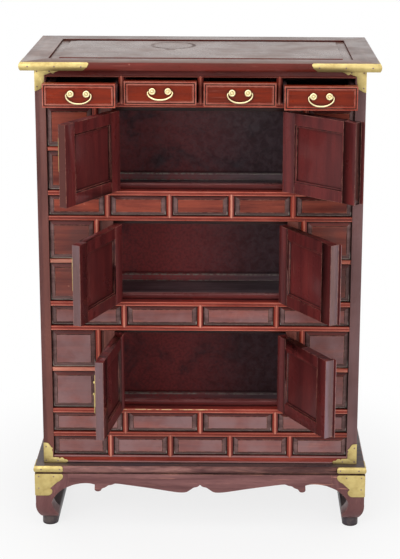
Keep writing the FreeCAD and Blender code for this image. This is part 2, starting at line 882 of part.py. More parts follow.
legs = []
for x_side in (-1, 1):
    for y_side in (-1, 1):
        word = ("front" if y_side < 0 else "back") + ("_left" if x_side < 0 else "_right")
        x_corner = stand_left if x_side < 0 else stand_right
        y_corner = stand_near if y_side < 0 else stand_far
        bracket = size["leg_bracket_width"]
        x_outline = facing(leg_outline(lambda inset: x_corner - inset * x_side), -x_side)
        y_outline = facing(leg_outline(lambda inset: y_corner - inset * y_side), -y_side)
        across = extruded(f"{word}_leg_across", "XZ", x_outline,
                          *low_high(y_corner, y_corner - bracket * y_side))
        along = extruded(f"{word}_leg_along", "YZ", y_outline,
                         *low_high(x_corner, x_corner - bracket * x_side))
        blank = common(f"{word}_leg_blank", across, along)
        hollow = board(f"{word}_leg_hollow",
                       (x_corner - size["leg_shank_width"] * x_side,
                        x_corner - (bracket + size["overrun"]) * x_side),
                       (y_corner - size["leg_shank_width"] * y_side,
                        y_corner - (bracket + size["overrun"]) * y_side),
                       (size["leg_shank_height"], z_ledge + size["overrun"]))
        legs += [cut(f"{word}_leg", blank, [hollow])]
node("stand_legs", legs)

runners = []
runner_nose_share = 0.8
for side in (-1, 1):
    word = "left" if side < 0 else "right"
    corner = stand_left if side < 0 else stand_right
    one = corner - size["leg_ankle_inset"] * side
    other = one - size["runner_width"] * side
    x_low, x_high = low_high(one, other)
    end_in = size["leg_ankle_inset"] + size["runner_width"] / 2
    nose_rise = size["runner_width"] / 2 * runner_nose_share
    plan = [
        (x_low, stand_near + end_in, nose_rise), (x_high, stand_near + end_in, 0),
        (x_high, stand_far - end_in, nose_rise), (x_low, stand_far - end_in, 0),
    ]
    runners.append(padded_body(f"runner_{word}", "XY", plan, zero, size["foot_height"]))
node("stand_runners", runners)

# Bail handles: a bent wire whose two tips turn inwards into the bored posts
tip_share = 0.3
octagon_corner_share = 1.0824
wire_sides = 6
turn_steps = 2
corner_steps = 3


def bent_stations(centre_x, centre_z, radius, start_angle, steps):
    """Places along a quarter bend that runs anticlockwise from a start angle: (x, z, angle)."""
    stations = []
    for step in range(steps + 1):
        angle = start_angle + 90 * step / steps
        turned = math.radians(angle)
        stations.append((centre_x + radius * math.cos(turned), centre_z + radius * math.sin(turned), angle))
    return stations


def bail(name, x, y, z, tip_end, reach, drop, wire, turn, corner):
    """A bail hanging in the XZ plane from its hinge line at (x, y, z)."""
    left, right = x - reach, x + reach
    bottom = z - drop
    stations = [(x - tip_end, z, 90)]
    stations += bent_stations(left + turn, z - turn, turn, 90, turn_steps)
    stations += bent_stations(left + corner, bottom + corner, corner, 180, corner_steps)
    stations += bent_stations(right - corner, bottom + corner, corner, 270, corner_steps)
    stations += bent_stations(right - turn, z - turn, turn, 360, turn_steps)
    stations.append((x + tip_end, z, 450))
    sections = []
    for index, (station_x, station_z, angle) in enumerate(stations):
        section = doc.addObject("Part::RegularPolygon", f"{name}_section{index}")
        section.Polygon = wire_sides
        section.setExpression("Circumradius", wire.formula)
        section.Placement.Rotation = FreeCAD.Rotation(FreeCAD.Vector(0, 1, 0), -angle)
        move(section, station_x, y, station_z)
        sections.append(section)
    wire_loft = doc.addObject("Part::Loft", name)
    wire_loft.Sections = sections
    wire_loft.Ruled = True
    wire_loft.Solid = True
    wire_loft.Linearize = True
    return wire_loft


def prism(name, sides, radius, length, x, y, z, along="-Y"):
    """A many-sided stub standing on a point."""
    stub = doc.addObject("Part::Prism", name)
    stub.Polygon = sides
    stub.setExpression("Circumradius", radius.formula)
    stub.setExpression("Height", length.formula)
    stub.Placement.Rotation = FreeCAD.Rotation(*prism_turns[along])
    move(stub, x, y, z)
    return stub


prism_turns = {
    "Z": (FreeCAD.Vector(0, 0, 1), 0),
    "-Y": (FreeCAD.Vector(1, 0, 0), 90),
    "-X": (FreeCAD.Vector(0, 1, 0), -90),
    "X": (FreeCAD.Vector(0, 1, 0), 90),
}


def bored_post(name, x, face, z, half_post, wire, bore_from, bore_to, cap):
    """A square post standing out from a face towards -Y with a cap in front, cross-bored for the
    tips of a bail between two distances from its middle."""
    stem = board(name + "_stem", (x - half_post, x + half_post), (face - size["post_length"], face),
                 (z - half_post, z + half_post))
    bore = prism(name + "_bore", 8, (wire + size["pin_clearance"]) * octagon_corner_share,
                 bore_to - bore_from, x + bore_from, face - size["post_axis_stand_off"], z, along="X")
    return cut(name, fused(name + "_body", [stem] + cap), [bore])


# Doors, each modelled closed about its own hinge line and then set open
hinge_line = size["door_opening_half"] - size["hinge_gap"] / 2
leaf_start = size["hinge_gap"] / 2
leaf_end = hinge_line - size["door_meeting_gap"] / 2
leaf_near = size["knuckle_stand_off"]
leaf_far = leaf_near + size["door_thickness"]
hinge_depth = front - leaf_near
panel_start = leaf_start + size["door_stile"]
panel_end = leaf_end - size["door_stile"]
panel_near = leaf_near + size["door_panel_front_recess"]


def door_frame(label, way, low, high):
    """Stiles, rails and the bead round the panel; the right leaf also has an astragal. Distances
    run from the hinge line towards the free edge, which lies on the side that way points to."""
    stile_depth = (leaf_near, leaf_far)
    inner = (panel_start * way, panel_end * way)
    rail_low = low + size["door_rail"]
    rail_high = high - size["door_rail"]
    members = [
        board(f"{label}_hinge_stile", (leaf_start * way, panel_start * way), stile_depth, (low, high)),
        board(f"{label}_free_stile", (panel_end * way, leaf_end * way), stile_depth, (low, high)),
        board(f"{label}_low_rail", inner, stile_depth, (low, rail_low)),
        board(f"{label}_high_rail", inner, stile_depth, (rail_high, high)),
    ]
    bead = size["door_bead_width"]
    bead_near = panel_near + size["door_panel_thickness"]
    bead_depth = (bead_near, bead_near + size["door_bead_thickness"])
    for name, start, end in (("hinge", panel_start, panel_start + bead),
                             ("free", panel_end - bead, panel_end)):
        members.append(board(f"{label}_{name}_bead", (start * way, end * way), bead_depth,
                             (rail_low, rail_high)))
    between = ((panel_start + bead) * way, (panel_end - bead) * way)
    for name, bottom, top in (("low", rail_low, rail_low + bead), ("high", rail_high - bead, rail_high)):
        members.append(board(f"{label}_{name}_bead", between, bead_depth, (bottom, top)))
    if way < 0:
        members.append(astragal(label, way, low, high))
    return members


def astragal(label, way, low, high):
    """A round-fronted strip on the meeting stile that laps over the other leaf."""
    lap = size["astragal_overlap"]
    start = (leaf_end + lap - size["astragal_width"]) * way
    end = (leaf_end + lap) * way
    shoulder = leaf_near - size["astragal_thickness"] + size["astragal_round"]
    lap_back = leaf_near - size["astragal_gap"]
    section = [
        (start, leaf_near), (start, shoulder, size["astragal_round"] * way), (end, shoulder),
        (end, lap_back), (leaf_end * way, lap_back), (leaf_end * way, leaf_near),
    ]
    return extruded(f"{label}_astragal", "XY", section, low, high)


plate_shoulder_share = 0.6
plate_cusp_share = 0.14
plate_waist_share = 0.36


def lock_plate(label, way, pull_level):
    """Half of the pair's lock plate: straight along the meeting edge, lobed on the other side."""
    low = pull_level - size["lock_plate_below_pull"]
    tall = size["lock_plate_height"]
    high = low + tall
    edge = leaf_end - size["lock_plate_edge_distance"]
    if way < 0:
        edge = edge - size["astragal_width"] + size["astragal_overlap"]
    far = leaf_end - size["lock_plate_width"]
    shoulder = edge - (edge - far) * plate_shoulder_share
    cusp = tall * plate_cusp_share
    waist = tall * plate_waist_share
    rise = size["scallop_rise"] * way
    outline = [
        (edge * way, low), (edge * way, high, rise), (shoulder * way, high - cusp, rise),
        (far * way, high - waist, rise), (far * way, low + waist, rise), (shoulder * way, low + cusp, rise),
    ]
    return extruded(f"{label}_lock_plate", "XZ", outline, leaf_near - size["plate_thickness"], leaf_near)


bore_corner_share = 1.0353


def hinge_half(name, way, x, y, low, high, hand):
    """Half of a butt hinge about the line (x, y): the leaf's half (hand 1) has the upper knuckle,
    the jamb's half (hand -1) the lower knuckle with the pin."""
    thin = size["hinge_leaf_thickness"]
    outer = size["hinge_gap"] / 2
    across = (x + (outer - thin) * hand * way, x + outer * hand * way)
    plate_near = size["knuckle_radius"] + size["body_gap"]
    middle = (low + high) / 2
    half_split = size["knuckle_split"] / 2
    bottom, top = (middle + half_split, high) if hand > 0 else (low, middle - half_split)
    plate = board(name + "_plate", across,
                  (y + plate_near, y + plate_near + size["hinge_leaf_depth"]), (low, high))
    arm = board(name + "_arm", across, (y + size["knuckle_arm_start"], y + plate_near), (bottom, top))
    knuckle = prism(name + "_knuckle", 8, size["knuckle_radius"], top - bottom, x, y, bottom, along="Z")
    if hand > 0:
        bore_radius = (size["hinge_pin_radius"] + size["hinge_pin_clearance"]) * bore_corner_share
        bore = prism(name + "_bore", 12, bore_radius,
                     high - low + size["overrun"], x, y, low, along="Z")
        return fused(name, [plate, arm, cut(name + "_knuckle_bored", knuckle, [bore])])
    pin = prism(name + "_pin", 8, size["hinge_pin_radius"], high - low, x, y, low, along="Z")
    return fused(name, [plate, arm, knuckle, pin])


def hinge_spans(low, high):
    end = size["hinge_end_distance"]
    tall = size["hinge_height"]
    return [("low", low + end, low + end + tall), ("high", high - end - tall, high - end)]


def pull_cap(name, x, face, z):
    return [prism(name + "_cap", 8, size["pull_cap_radius"], size["pull_cap_thickness"],
                  x, face - size["post_length"], z)]


jamb_hinges = []
for name, tier_low, tier_high, floor in tiers:
    for word, way in (("left", 1), ("right", -1)):
        label = f"door_{name}_{word}"
        low = tier_low + size["door_bottom_gap"]
        high = tier_high - size["door_top_gap"]
        axis_x = -hinge_line * way
        angle = size[label + "_angle"] * -way
        middle = (low + high) / 2
        pull_level = middle + size["pull_height_above_middle"]
        pull_x = (leaf_end - size["pull_edge_distance"]) * way
        fittings = []
        mounts = [lock_plate(label, way, pull_level)]
        bore_half = size["pull_post_half"] + size["overrun"]
        mounts.append(bored_post(f"{label}_post", pull_x, leaf_near, pull_level, size["pull_post_half"],
                                 size["pull_wire_radius"], -bore_half, bore_half,
                                 pull_cap(f"{label}_post", pull_x, leaf_near, pull_level)))
        mounts.append(prism(f"{label}_stud", 8, size["lock_stud_radius"], size["lock_stud_length"], pull_x,
                            leaf_near, pull_level + size["lock_stud_above_pull"]))
        fittings.append(fused(f"{label}_lock_mount", mounts))
        for end, bottom, top in hinge_spans(low, high):
            fittings.append(hinge_half(f"{label}_{end}_leaf", way, zero, zero, bottom, top, 1))
            jamb_hinges.append(hinge_half(f"{label}_{end}_jamb", way, axis_x, hinge_depth, bottom, top, -1))
        pull = bail(f"{label}_bail", pull_x, leaf_near - size["post_axis_stand_off"], pull_level,
                    size["pull_post_half"] * tip_share, size["pull_reach"], size["pull_drop"],
                    size["pull_wire_radius"], size["pull_turn_radius"], size["pull_corner_radius"])
        panel_x = low_high(panel_start * way, panel_end * way)
        panel = fielded_panel(f"{label}_board", panel_x, (low + size["door_rail"], high - size["door_rail"]),
                              panel_near, size["door_panel_thickness"], size["flank_panel_margin"],
                              size["flank_panel_margin"])
        for kind, members in (("frame", door_frame(label, way, low, high)), ("panel", [panel]),
                              ("fittings", fittings), ("pull", [pull])):
            turned_node(f"{label}_{kind}", members, axis_x, hinge_depth, zero, angle)
node("jamb_hinges", jamb_hinges)

# Drawers, each modelled closed and then drawn out
drawer_edges = [-post_inner] + [c for centre in row_three for c in (centre - muntin / 2, centre + muntin / 2)]
drawer_edges.append(post_inner)
drawer_face = front + size["drawer_border_rise"]
drawer_back = front + size["drawer_front_thickness"]


def drawer_front(label, left, right):
    """A thick front board whose field lies a little behind its border."""
    border = size["drawer_border"]
    low = z_drawer + size["drawer_gap"]
    high = z_drawer_top - size["drawer_gap"]
    blank = board(label + "_blank", (left, right), (front, drawer_back), (low, high))
    field = doc.addObject("Part::Wedge", label + "_field")
    rise = size["drawer_border_rise"]
    bounds = {
        "Xmin": left + border - rise, "Xmax": right - border + rise, "Zmin": low + border - rise,
        "Zmax": high - border + rise, "Ymin": front - rise, "Ymax": drawer_face,
        "X2min": left + border + rise, "X2max": right - border - rise, "Z2min": low + border + rise,
        "Z2max": high - border - rise,
    }
    set_wedge(field, bounds)
    return cut(label, blank, [field])


def drawer_box(label, left, right):
    """Sides, back and bottom behind the front."""
    thick = size["drawer_side_thickness"]
    low = z_drawer + size["drawer_bottom_clearance"]
    high = low + size["drawer_side_height"]
    end = drawer_back + size["drawer_length"]
    bottom = low + size["drawer_bottom_lift"]
    return [
        board(label + "_left_side", (left, left + thick), (drawer_back, end), (low, high)),
        board(label + "_right_side", (right - thick, right), (drawer_back, end), (low, high)),
        board(label + "_back", (left + thick, right - thick), (end - thick, end), (low, high)),
        board(label + "_bottom", (left + thick, right - thick), (drawer_back, end - thick),
              (bottom, bottom + size["drawer_bottom_thickness"])),
    ]


def rosette_cap(name, x, face, z):
    """A round cap in two steps with a small nub in the middle."""
    members = []
    start = face - size["post_length"]
    for word, sides, radius, depth in (
            ("disc", 12, size["cap_radius"], size["cap_disc_depth"]),
            ("step", 12, size["cap_face_radius"], size["cap_step_depth"]),
            ("nub", 8, size["cap_nub_radius"], size["cap_nub_depth"])):
        members.append(prism(f"{name}_{word}", sides, radius, depth, x, start, z))
        start = start - depth
    return members


for index, name in enumerate(("one", "two", "three", "four")):
    label = f"drawer_{name}"
    left = drawer_edges[2 * index] + size["drawer_gap"]
    right = drawer_edges[2 * index + 1] - size["drawer_gap"]
    middle = (left + right) / 2
    out = size[label + "_out"]
    level = z_drawer + size["drawer_opening_height"] / 2 + size["bail_height_above_middle"]
    half_posts = size["post_spacing"] / 2
    posts = []
    bore_deep = size["post_half"] * tip_share + size["body_gap"]
    bore_out = size["post_half"] + size["overrun"]
    for side, bore_from, bore_to in ((-1, -bore_out, bore_deep), (1, -bore_deep, bore_out)):
        post = f"{label}_post_{'left' if side < 0 else 'right'}"
        post_x = middle + half_posts * side
        posts.append(bored_post(post, post_x, drawer_face, level, size["post_half"], size["bail_wire_radius"],
                                bore_from, bore_to, rosette_cap(post, post_x, drawer_face, level)))
    for kind, members in (("front", [drawer_front(f"{label}_board", left, right)]),
                          ("box", drawer_box(label, left, right)), ("pull_posts", posts)):
        node(f"{label}_{kind}", members).setExpression("Placement.Base.y", (-out).formula)
    lift = size["lifted_bail_angle"] if name == "two" else zero
    wire = bail(f"{label}_wire", zero, zero, zero, half_posts - size["post_half"] * tip_share,
                size["bail_reach"], size["bail_drop"], size["bail_wire_radius"],
                size["bail_turn_radius"], size["bail_corner_radius"])
    turned_node(f"{label}_bail", [wire], middle, drawer_face - size["post_axis_stand_off"] - out, level,
                -lift, axis="1; 0; 0")

# Brass mounts on the front corners
thin = size["plate_thickness"]
brass = []
nails = []


def nail(x, y, z, facing_side="front"):
    """A small domed nail head on a plate, its back at the point given."""
    along = {"front": "-Y", "left": "-X", "right": "X"}[facing_side]
    nails.append(prism(f"nail{len(nails)}", 6, size["nail_radius"], size["nail_head"], x, y, z, along))


def edge_straps(name, left, right, near, far, bow, low, high, length, side_length):
    """Straps bent round the two front corners of a frame whose edge is bowed by a given amount."""
    section = [(bow, low, -bow), (bow, high, 0), (bow + thin, high, bow), (bow + thin, low, 0)]
    ring = mitred_frame(name, left - thin, right + thin, near - thin, far + thin, (bow + thin) * 2, section)
    notch_in = size["scallop_rise"] * 2
    middle = (low + high) / 2
    margin = size["overrun"]
    for word, way, edge, bar in (("left", 1, left - thin, ring[2]), ("right", -1, right + thin, ring[3])):
        place_x = (edge - margin * way, edge + length * way)
        rise = size["scallop_rise"] * way
        front_view = [
            (place_x[0], low - margin), (place_x[1] - notch_in * way, low - margin),
            (place_x[1] - notch_in * way, low, rise), (place_x[1], middle, rise),
            (place_x[1] - notch_in * way, high), (place_x[1] - notch_in * way, high + margin),
            (place_x[0], high + margin),
        ]
        front_blank = extruded(f"{name}_{word}_front_blank", "XZ", front_view, near - margin, near + length)
        side_blank = board(f"{name}_{word}_side_blank", (edge - margin * way, edge + length * way),
                           (near - margin, near + side_length), (low - margin, high + margin))
        brass.append(fused(f"{name}_{word}", [common(f"{name}_{word}_front_strap", ring[0], front_blank),
                                              common(f"{name}_{word}_side_strap", bar, side_blank)]))


edge_straps("top_strap", top_left, top_right, top_near, top_far, edge_bow, z_case_top, z_top,
            size["strap_length"], size["strap_return"])
edge_straps("ledge_strap", stand_left, stand_right, stand_near, stand_far, nose, z_groove_top, z_case,
            size["ledge_plate_length"], size["ledge_plate_return"])

first_nail_share = 0.12
middle_nail_share = 0.5
last_nail_share = 0.88
strap_level = (z_case_top + z_top) / 2
ledge_level = (z_groove_top + z_case) / 2
for word, way in (("left", 1), ("right", -1)):
    top_corner = top_left if way > 0 else top_right
    stand_corner = stand_left if way > 0 else stand_right
    for share in (first_nail_share, middle_nail_share, last_nail_share):
        nail(top_corner + size["strap_length"] * share * way, top_near - thin, strap_level)
    for share in (middle_nail_share / 2, last_nail_share):
        nail(top_corner - thin * way, top_near + size["strap_return"] * share, strap_level, word)
    for share in (first_nail_share * 2, last_nail_share):
        nail(stand_corner + size["ledge_plate_length"] * share * way, stand_near - thin, ledge_level)
    nail(stand_corner - thin * way, stand_near + size["ledge_plate_return"] * middle_nail_share,
         ledge_level, word)

tip_drop_share = 0.7
tip_in_share = 0.8
leg_in_share = 0.6
arm_end_share = 0.66
arm_tip_share = 0.7


def bracket_outline(place, level, across, up):
    """L-shaped corner plate with lobed inner edges: place and level turn distances from the corner
    into coordinates."""
    leg = size["bracket_leg"]
    arm = size["bracket_arm"]
    rise = size["scallop_rise"]
    return [
        (place(zero), level(zero), 0), (place(across), level(zero), rise),
        (place(across * tip_in_share), level(leg * tip_drop_share), rise),
        (place(across * leg_in_share), level(leg), rise / 2), (place(arm + leg / 2), level(leg), 0),
        (place(arm), level(leg + leg / 2), rise), (place(arm), level(up * arm_end_share), rise),
        (place(arm * arm_tip_share), level(up * tip_in_share + rise), rise), (place(zero), level(up), 0),
    ]


def spandrel_outline(place, level, across, up):
    """Triangular plate for the shoulder of a leg, its long side cut in lobes."""
    rise = size["scallop_rise"]
    return [
        (place(zero), level(zero), 0), (place(across), level(zero), rise),
        (place(across * tip_in_share), level(up * (1 - arm_tip_share)), rise),
        (place(across * middle_nail_share), level(up * middle_nail_share), rise),
        (place(across * (1 - arm_tip_share)), level(up * tip_in_share), rise), (place(zero), level(up), 0),
    ]


apron_front = stand_near + size["apron_set_back"]
for word, way in (("left", 1), ("right", -1)):
    case_corner = half_width * -way
    upper = facing(bracket_outline(lambda inset: case_corner + inset * way, lambda drop: z_case_top - drop,
                                   size["bracket_across"], size["bracket_up"]), -way)
    lower = facing(bracket_outline(lambda inset: case_corner + inset * way, lambda lift: z_case + lift,
                                   size["bracket_across"], size["bracket_up"]), way)
    brass.append(extruded(f"upper_bracket_{word}", "XZ", upper, front - thin, front))
    brass.append(extruded(f"lower_bracket_{word}", "XZ", lower, front - thin, front))
    half_leg = size["bracket_leg"] / 2
    for corner_z, direction in ((z_case_top, -1), (z_case, 1)):
        nail(case_corner + half_leg * way, front - thin, corner_z + half_leg * direction)
        nail(case_corner + size["bracket_across"] * leg_in_share * way, front - thin,
             corner_z + half_leg * direction)
        nail(case_corner + half_leg * way, front - thin,
             corner_z + size["bracket_up"] * tip_in_share * direction)
    stand_corner = (stand_left if way > 0 else stand_right) + size["apron_set_back"] * way
    shoulder = facing(spandrel_outline(lambda inset: stand_corner + inset * way, lambda drop: z_ledge - drop,
                                       size["leg_plate_width"], size["leg_plate_height"]), -way)
    side_shoulder = facing(spandrel_outline(lambda inset: apron_front - thin + inset,
                                            lambda drop: z_ledge - drop, size["leg_plate_width"],
                                            size["leg_plate_height"]), -1)
    face_plate = extruded(f"leg_plate_{word}_front", "XZ", shoulder, apron_front - thin, apron_front)
    side_plate = extruded(f"leg_plate_{word}_side", "YZ", side_shoulder,
                          *low_high(stand_corner, stand_corner - thin * way))
    brass.append(fused(f"leg_plate_{word}", [face_plate, side_plate]))
    for across, drop in ((first_nail_share, first_nail_share), (arm_end_share, first_nail_share),
                         (first_nail_share, arm_end_share)):
        inset = size["leg_plate_width"] * across
        level = z_ledge - size["leg_plate_height"] * drop
        nail(stand_corner + inset * way, apron_front - thin, level)
        nail(stand_corner - thin * way, apron_front + inset, level, word)
node("corner_brass", brass)
node("brass_nails", nails)

# Write the sub-parts out
doc.recompute()
for thing in doc.Objects:
    if {"Invalid", "Error"} & set(thing.State):
        raise RuntimeError(f"{thing.Name} could not be worked out: {thing.State}")
for part in nodes:
    if part.Shape.isNull() or not part.Shape.isValid():
        raise RuntimeError(f"{part.Label} is empty or not a valid solid")
os.makedirs("parts", exist_ok=True)
for part in nodes:
    part.Shape.exportStep(f"parts/{part.Label}.step")
    print(f"{part.Label:28s} {len(part.Shape.Solids):3d} solids  volume {part.Shape.Volume:12.0f}")
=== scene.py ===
"""A red lacquered chest of three tiers: its finishes, its fine shapes, and the studio round it."""
import json
import math
import random

import bmesh
import bpy
from bpy.props import FloatProperty, FloatVectorProperty, PointerProperty
from mathutils import Matrix, Vector

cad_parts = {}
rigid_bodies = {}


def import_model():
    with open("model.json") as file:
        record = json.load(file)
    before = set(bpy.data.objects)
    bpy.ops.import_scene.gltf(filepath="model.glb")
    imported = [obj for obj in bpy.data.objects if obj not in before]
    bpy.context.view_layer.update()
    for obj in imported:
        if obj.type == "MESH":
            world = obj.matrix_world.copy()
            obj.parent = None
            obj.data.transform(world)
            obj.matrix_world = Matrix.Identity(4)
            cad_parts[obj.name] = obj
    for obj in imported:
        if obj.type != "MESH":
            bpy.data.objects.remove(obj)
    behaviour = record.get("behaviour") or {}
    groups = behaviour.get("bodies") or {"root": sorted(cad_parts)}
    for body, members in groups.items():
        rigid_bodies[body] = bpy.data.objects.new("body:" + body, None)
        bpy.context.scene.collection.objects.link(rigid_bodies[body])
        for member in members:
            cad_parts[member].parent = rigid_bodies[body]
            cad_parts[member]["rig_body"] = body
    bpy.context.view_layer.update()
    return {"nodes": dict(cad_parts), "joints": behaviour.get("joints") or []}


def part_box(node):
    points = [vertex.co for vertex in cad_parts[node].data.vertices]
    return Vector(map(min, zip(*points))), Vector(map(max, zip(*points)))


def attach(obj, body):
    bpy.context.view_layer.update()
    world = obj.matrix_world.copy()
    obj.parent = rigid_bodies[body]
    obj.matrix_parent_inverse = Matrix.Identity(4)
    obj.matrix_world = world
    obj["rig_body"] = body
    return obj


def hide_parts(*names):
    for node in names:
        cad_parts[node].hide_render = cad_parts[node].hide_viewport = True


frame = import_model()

bl_info = {
    "name": "Red lacquered chest",
    "version": (1, 0, 0),
    "blender": (4, 5, 0),
    "location": "View3D > Sidebar > Chest",
    "description": "Dresses the plain solids of a three tier chest in lacquer, brass and wear",
    "category": "Object",
}

MM = 0.001
DOORS = [f"{tier}_{side}" for tier in ("upper", "middle", "lower") for side in ("left", "right")]
DRAWERS = ("one", "two", "three", "four")
ALONG, FRONT, UP = Vector((1, 0, 0)), Vector((0, -1, 0)), Vector((0, 0, 1))

# The record's material slots
RED, TOP, STAND = "red_lacquered_wood", "weathered_top_wood", "stand_wood"
INNER, BRASS = "inner_wood", "pale_brass"


def display(red, green, blue):
    """A colour as it is seen, 0 to 255, made linear."""
    return tuple((v / 255 / 12.92) if v < 10.3 else ((v / 255 + 0.055) / 1.055) ** 2.4
                 for v in (red, green, blue))


def colour(name, about, value):
    """A colour property of the finishes."""
    return FloatVectorProperty(name=name, description=about, subtype="COLOR", size=3,
                               min=0.0, max=1.0, default=display(*value))


def length(name, about, value):
    """A length property in metres."""
    return FloatProperty(name=name, description=about, subtype="DISTANCE", unit="LENGTH",
                         min=0.0, default=value * MM, precision=5)


class ChestColours(bpy.types.PropertyGroup):
    """Colours of the finishes."""

    front_warm: colour("Front, warm", "Red of the worn lattice", (158, 60, 42))
    front_deep: colour("Front, deep", "Brown red in the figure of the lattice", (108, 38, 31))
    # Painted highlight, with rubbing: the pale pink of the rails' beads stands for the light on
    # them
    bead_warm: colour("Bead", "Rubbed crest of the beads", (206, 126, 108))
    # Painted reflection: the grey of the side and lower margins stands for the bright surroundings
    # in their slope
    margin_warm: colour("Margin, warm", "Sloping margins of the panels", (124, 94, 91))
    margin_deep: colour("Margin, deep", "Dark figure of the margins", (88, 62, 60))
    # Painted shade, with some dirt: the dark colour of the grooves and of the upper door stops
    quirk: colour("Quirk", "Dark lines beside the fields", (58, 30, 27))
    # Painted highlight, with rubbing, on the rim and the bead of the drawer fronts
    drawer_bead: colour("Drawer bead", "Rubbed moulding of the drawers", (172, 108, 94))
    # Painted highlight on the door beads and on the faces of the lower stops that look up
    door_bead: colour("Door bead", "Pale beads round the door panels", (164, 116, 114))
    # Painted shade: the rails' faces that look up are darker than their fronts
    sill: colour("Sill", "Dark red of the faces that look up", (146, 52, 42))
    reed: colour("Reed", "Red between the two beads of a rail", (164, 66, 52))
    # Painted light on the uprights: a pale painted highlight, with rubbing, along the crest
    crest: colour("Crest", "Pale crest of the uprights", (222, 152, 130))
    # Painted shade on the right flank of the uprights
    lee: colour("Lee", "Shaded flank of the uprights", (132, 62, 56))
    post_red: colour("Post, red", "Rubbed red along the posts", (122, 74, 66))
    # Painted sheen of the bright floor on the low faces, mixed with dust
    dusty: colour("Dusty fields", "Grey rose of the lowest fields", (141, 112, 113))
    ledge_front: colour("Ledge, front", "Rubbed brown of the ledge", (172, 124, 116))
    # Painted shade: the ledge's faces that look up are darker than its front
    ledge_top: colour("Ledge, top", "Dark wood of the ledge's upper face", (100, 76, 70))
    back_tint: colour("Back", "Plain brown of the back's outer face", (104, 72, 64))
    floor_tint: colour("Inside floor", "Grey brown of the inside floors", (160, 142, 148))
    # Painted shade on the fronts of the lower door stops
    strip: colour("Strip", "Dark red of the door stops", (100, 30, 27))
    # Painted shade on the upper margins of the panels, under the rails
    eave: colour("Eave", "Dark red of the upper and lower margins", (104, 42, 34))
    # Red left on the back boards, strongest on the left as painted light
    inside_red: colour("Inside, red", "Red that still shows on the back boards", (208, 98, 98))
    pale_wear: colour("Pale wear", "Wood and dust that show through", (226, 198, 146))
    dust: colour("Dust", "Pale grey dust and glints in the corners", (206, 200, 188))
    # Painted sheen: the pale grey brown of the doors' edge faces; the nails use it as their own
    # colour
    door_edge: colour("Door edge", "Grey brown free edges of the doors", (146, 119, 127))
    # Painted shade on the dark red edges of the top
    top_edge: colour("Top edge", "Dark red edge of the top", (85, 37, 28))
    field_warm: colour("Panel, warm", "Red of the raised fields", (152, 71, 52))
    field_deep: colour("Panel, deep", "Dark figure of the raised fields", (98, 40, 33))
    drawer_warm: colour("Drawer, warm", "Orange red of the drawer fronts", (138, 40, 8))
    drawer_deep: colour("Drawer, deep", "Dark figure of the drawer fronts", (104, 28, 7))
    stile_warm: colour("Stile, warm", "Grey brown of the door stiles", (118, 66, 56))
    stile_deep: colour("Stile, deep", "Dark figure of the door stiles", (84, 42, 36))
    door_warm: colour("Door, warm", "Maroon of the door backs", (106, 41, 40))
    door_deep: colour("Door, deep", "Dark figure of the door backs", (75, 30, 31))
    post_warm: colour("Post, warm", "Red brown of posts and sides", (120, 76, 72))
    post_deep: colour("Post, deep", "Dark figure of posts and sides", (88, 50, 47))
    top_warm: colour("Top, warm", "Weathered brown of the top", (118, 88, 76))
    top_deep: colour("Top, deep", "Dark figure of the top", (92, 64, 55))
    stand_warm: colour("Stand, warm", "Brown of the stand", (134, 92, 90))
    stand_deep: colour("Stand, deep", "Dark figure of the stand", (100, 64, 64))
    inside_warm: colour("Inside, warm", "Dull maroon of the inside boards", (105, 92, 98))
    inside_deep: colour("Inside, deep", "Near black of the inside boards", (70, 62, 68))
    runner_tint: colour("Runner", "Black brown of the runners", (100, 88, 85))
    worn: colour("Worn edge", "Pale rubbed lacquer", (214, 150, 128))
    # Dark colour of dirt, of painted shade in corners, and of the ring stain
    dirt: colour("Settled dirt", "Dark dirt in the corners", (30, 14, 13))
    brass: colour("Brass", "Pale yellow brass", (204, 184, 122))
    bail_brass: colour("Bails", "Bright rubbed brass of the bails", (240, 226, 180))
    brass_deep: colour("Brass, dull", "Tarnish on the brass", (160, 134, 80))


class ChestSizes(bpy.types.PropertyGroup):
    """Sizes that shape the finish."""

    soft_edge: length("Soft edge", "Rounding of the joiner's edges", 0.7)
    brass_edge: length("Brass edge", "Rounding of the brass edges", 0.25)


# Meshes


def link(name, data):
    """A new object in the scene."""
    holder = bpy.data.objects.new(name, data)
    bpy.context.scene.collection.objects.link(holder)
    return holder


def mesh_of(bm, name):
    """The mesh of a bmesh, which is used up."""
    mesh = bpy.data.meshes.new(name)
    bm.to_mesh(mesh)
    bm.free()
    return mesh


def faces_of(verts):
    """The faces round some vertices, each once."""
    return list(dict.fromkeys(face for vert in verts for face in vert.link_faces))


def joined_to(start):
    """Some vertices, and all that edges join to them."""
    found, queue, seen = list(start), list(start), set(start)
    while queue:
        for edge in queue.pop().link_edges:
            for vert in edge.verts:
                if vert not in seen:
                    seen.add(vert)
                    found.append(vert)
                    queue.append(vert)
    return found


def islands(bm):
    """The separate solids of a mesh, each as its vertices."""
    seen, found = set(), []
    for start in bm.verts:
        if start not in seen:
            found.append(joined_to([start]))
            seen.update(found[-1])
    return found


def merged(node):
    """A copy of a node's mesh with its triangles joined."""
    bm = bmesh.new()
    bm.from_mesh(frame["nodes"][node].data)
    bmesh.ops.remove_doubles(bm, verts=bm.verts, dist=5e-6)
    return bm


def cad_copy(node):
    """A merged copy of a node's mesh, with its flat faces made whole again."""
    bm = merged(node)
    bmesh.ops.dissolve_limit(bm, angle_limit=math.radians(1.0), use_dissolve_boundaries=False,
                             verts=bm.verts, edges=bm.edges)
    return bm


def solid_boxes(node):
    """Lowest and highest corner of each separate solid of a node."""
    bm = merged(node)
    boxes = []
    for group in islands(bm):
        corners = [[v.co[i] for v in group] for i in range(3)]
        boxes.append((Vector(min(c) for c in corners), Vector(max(c) for c in corners)))
    bm.free()
    return sorted(boxes, key=lambda b: (round(b[0].z, 4), round(b[0].x, 4), round(b[0].y, 4)))


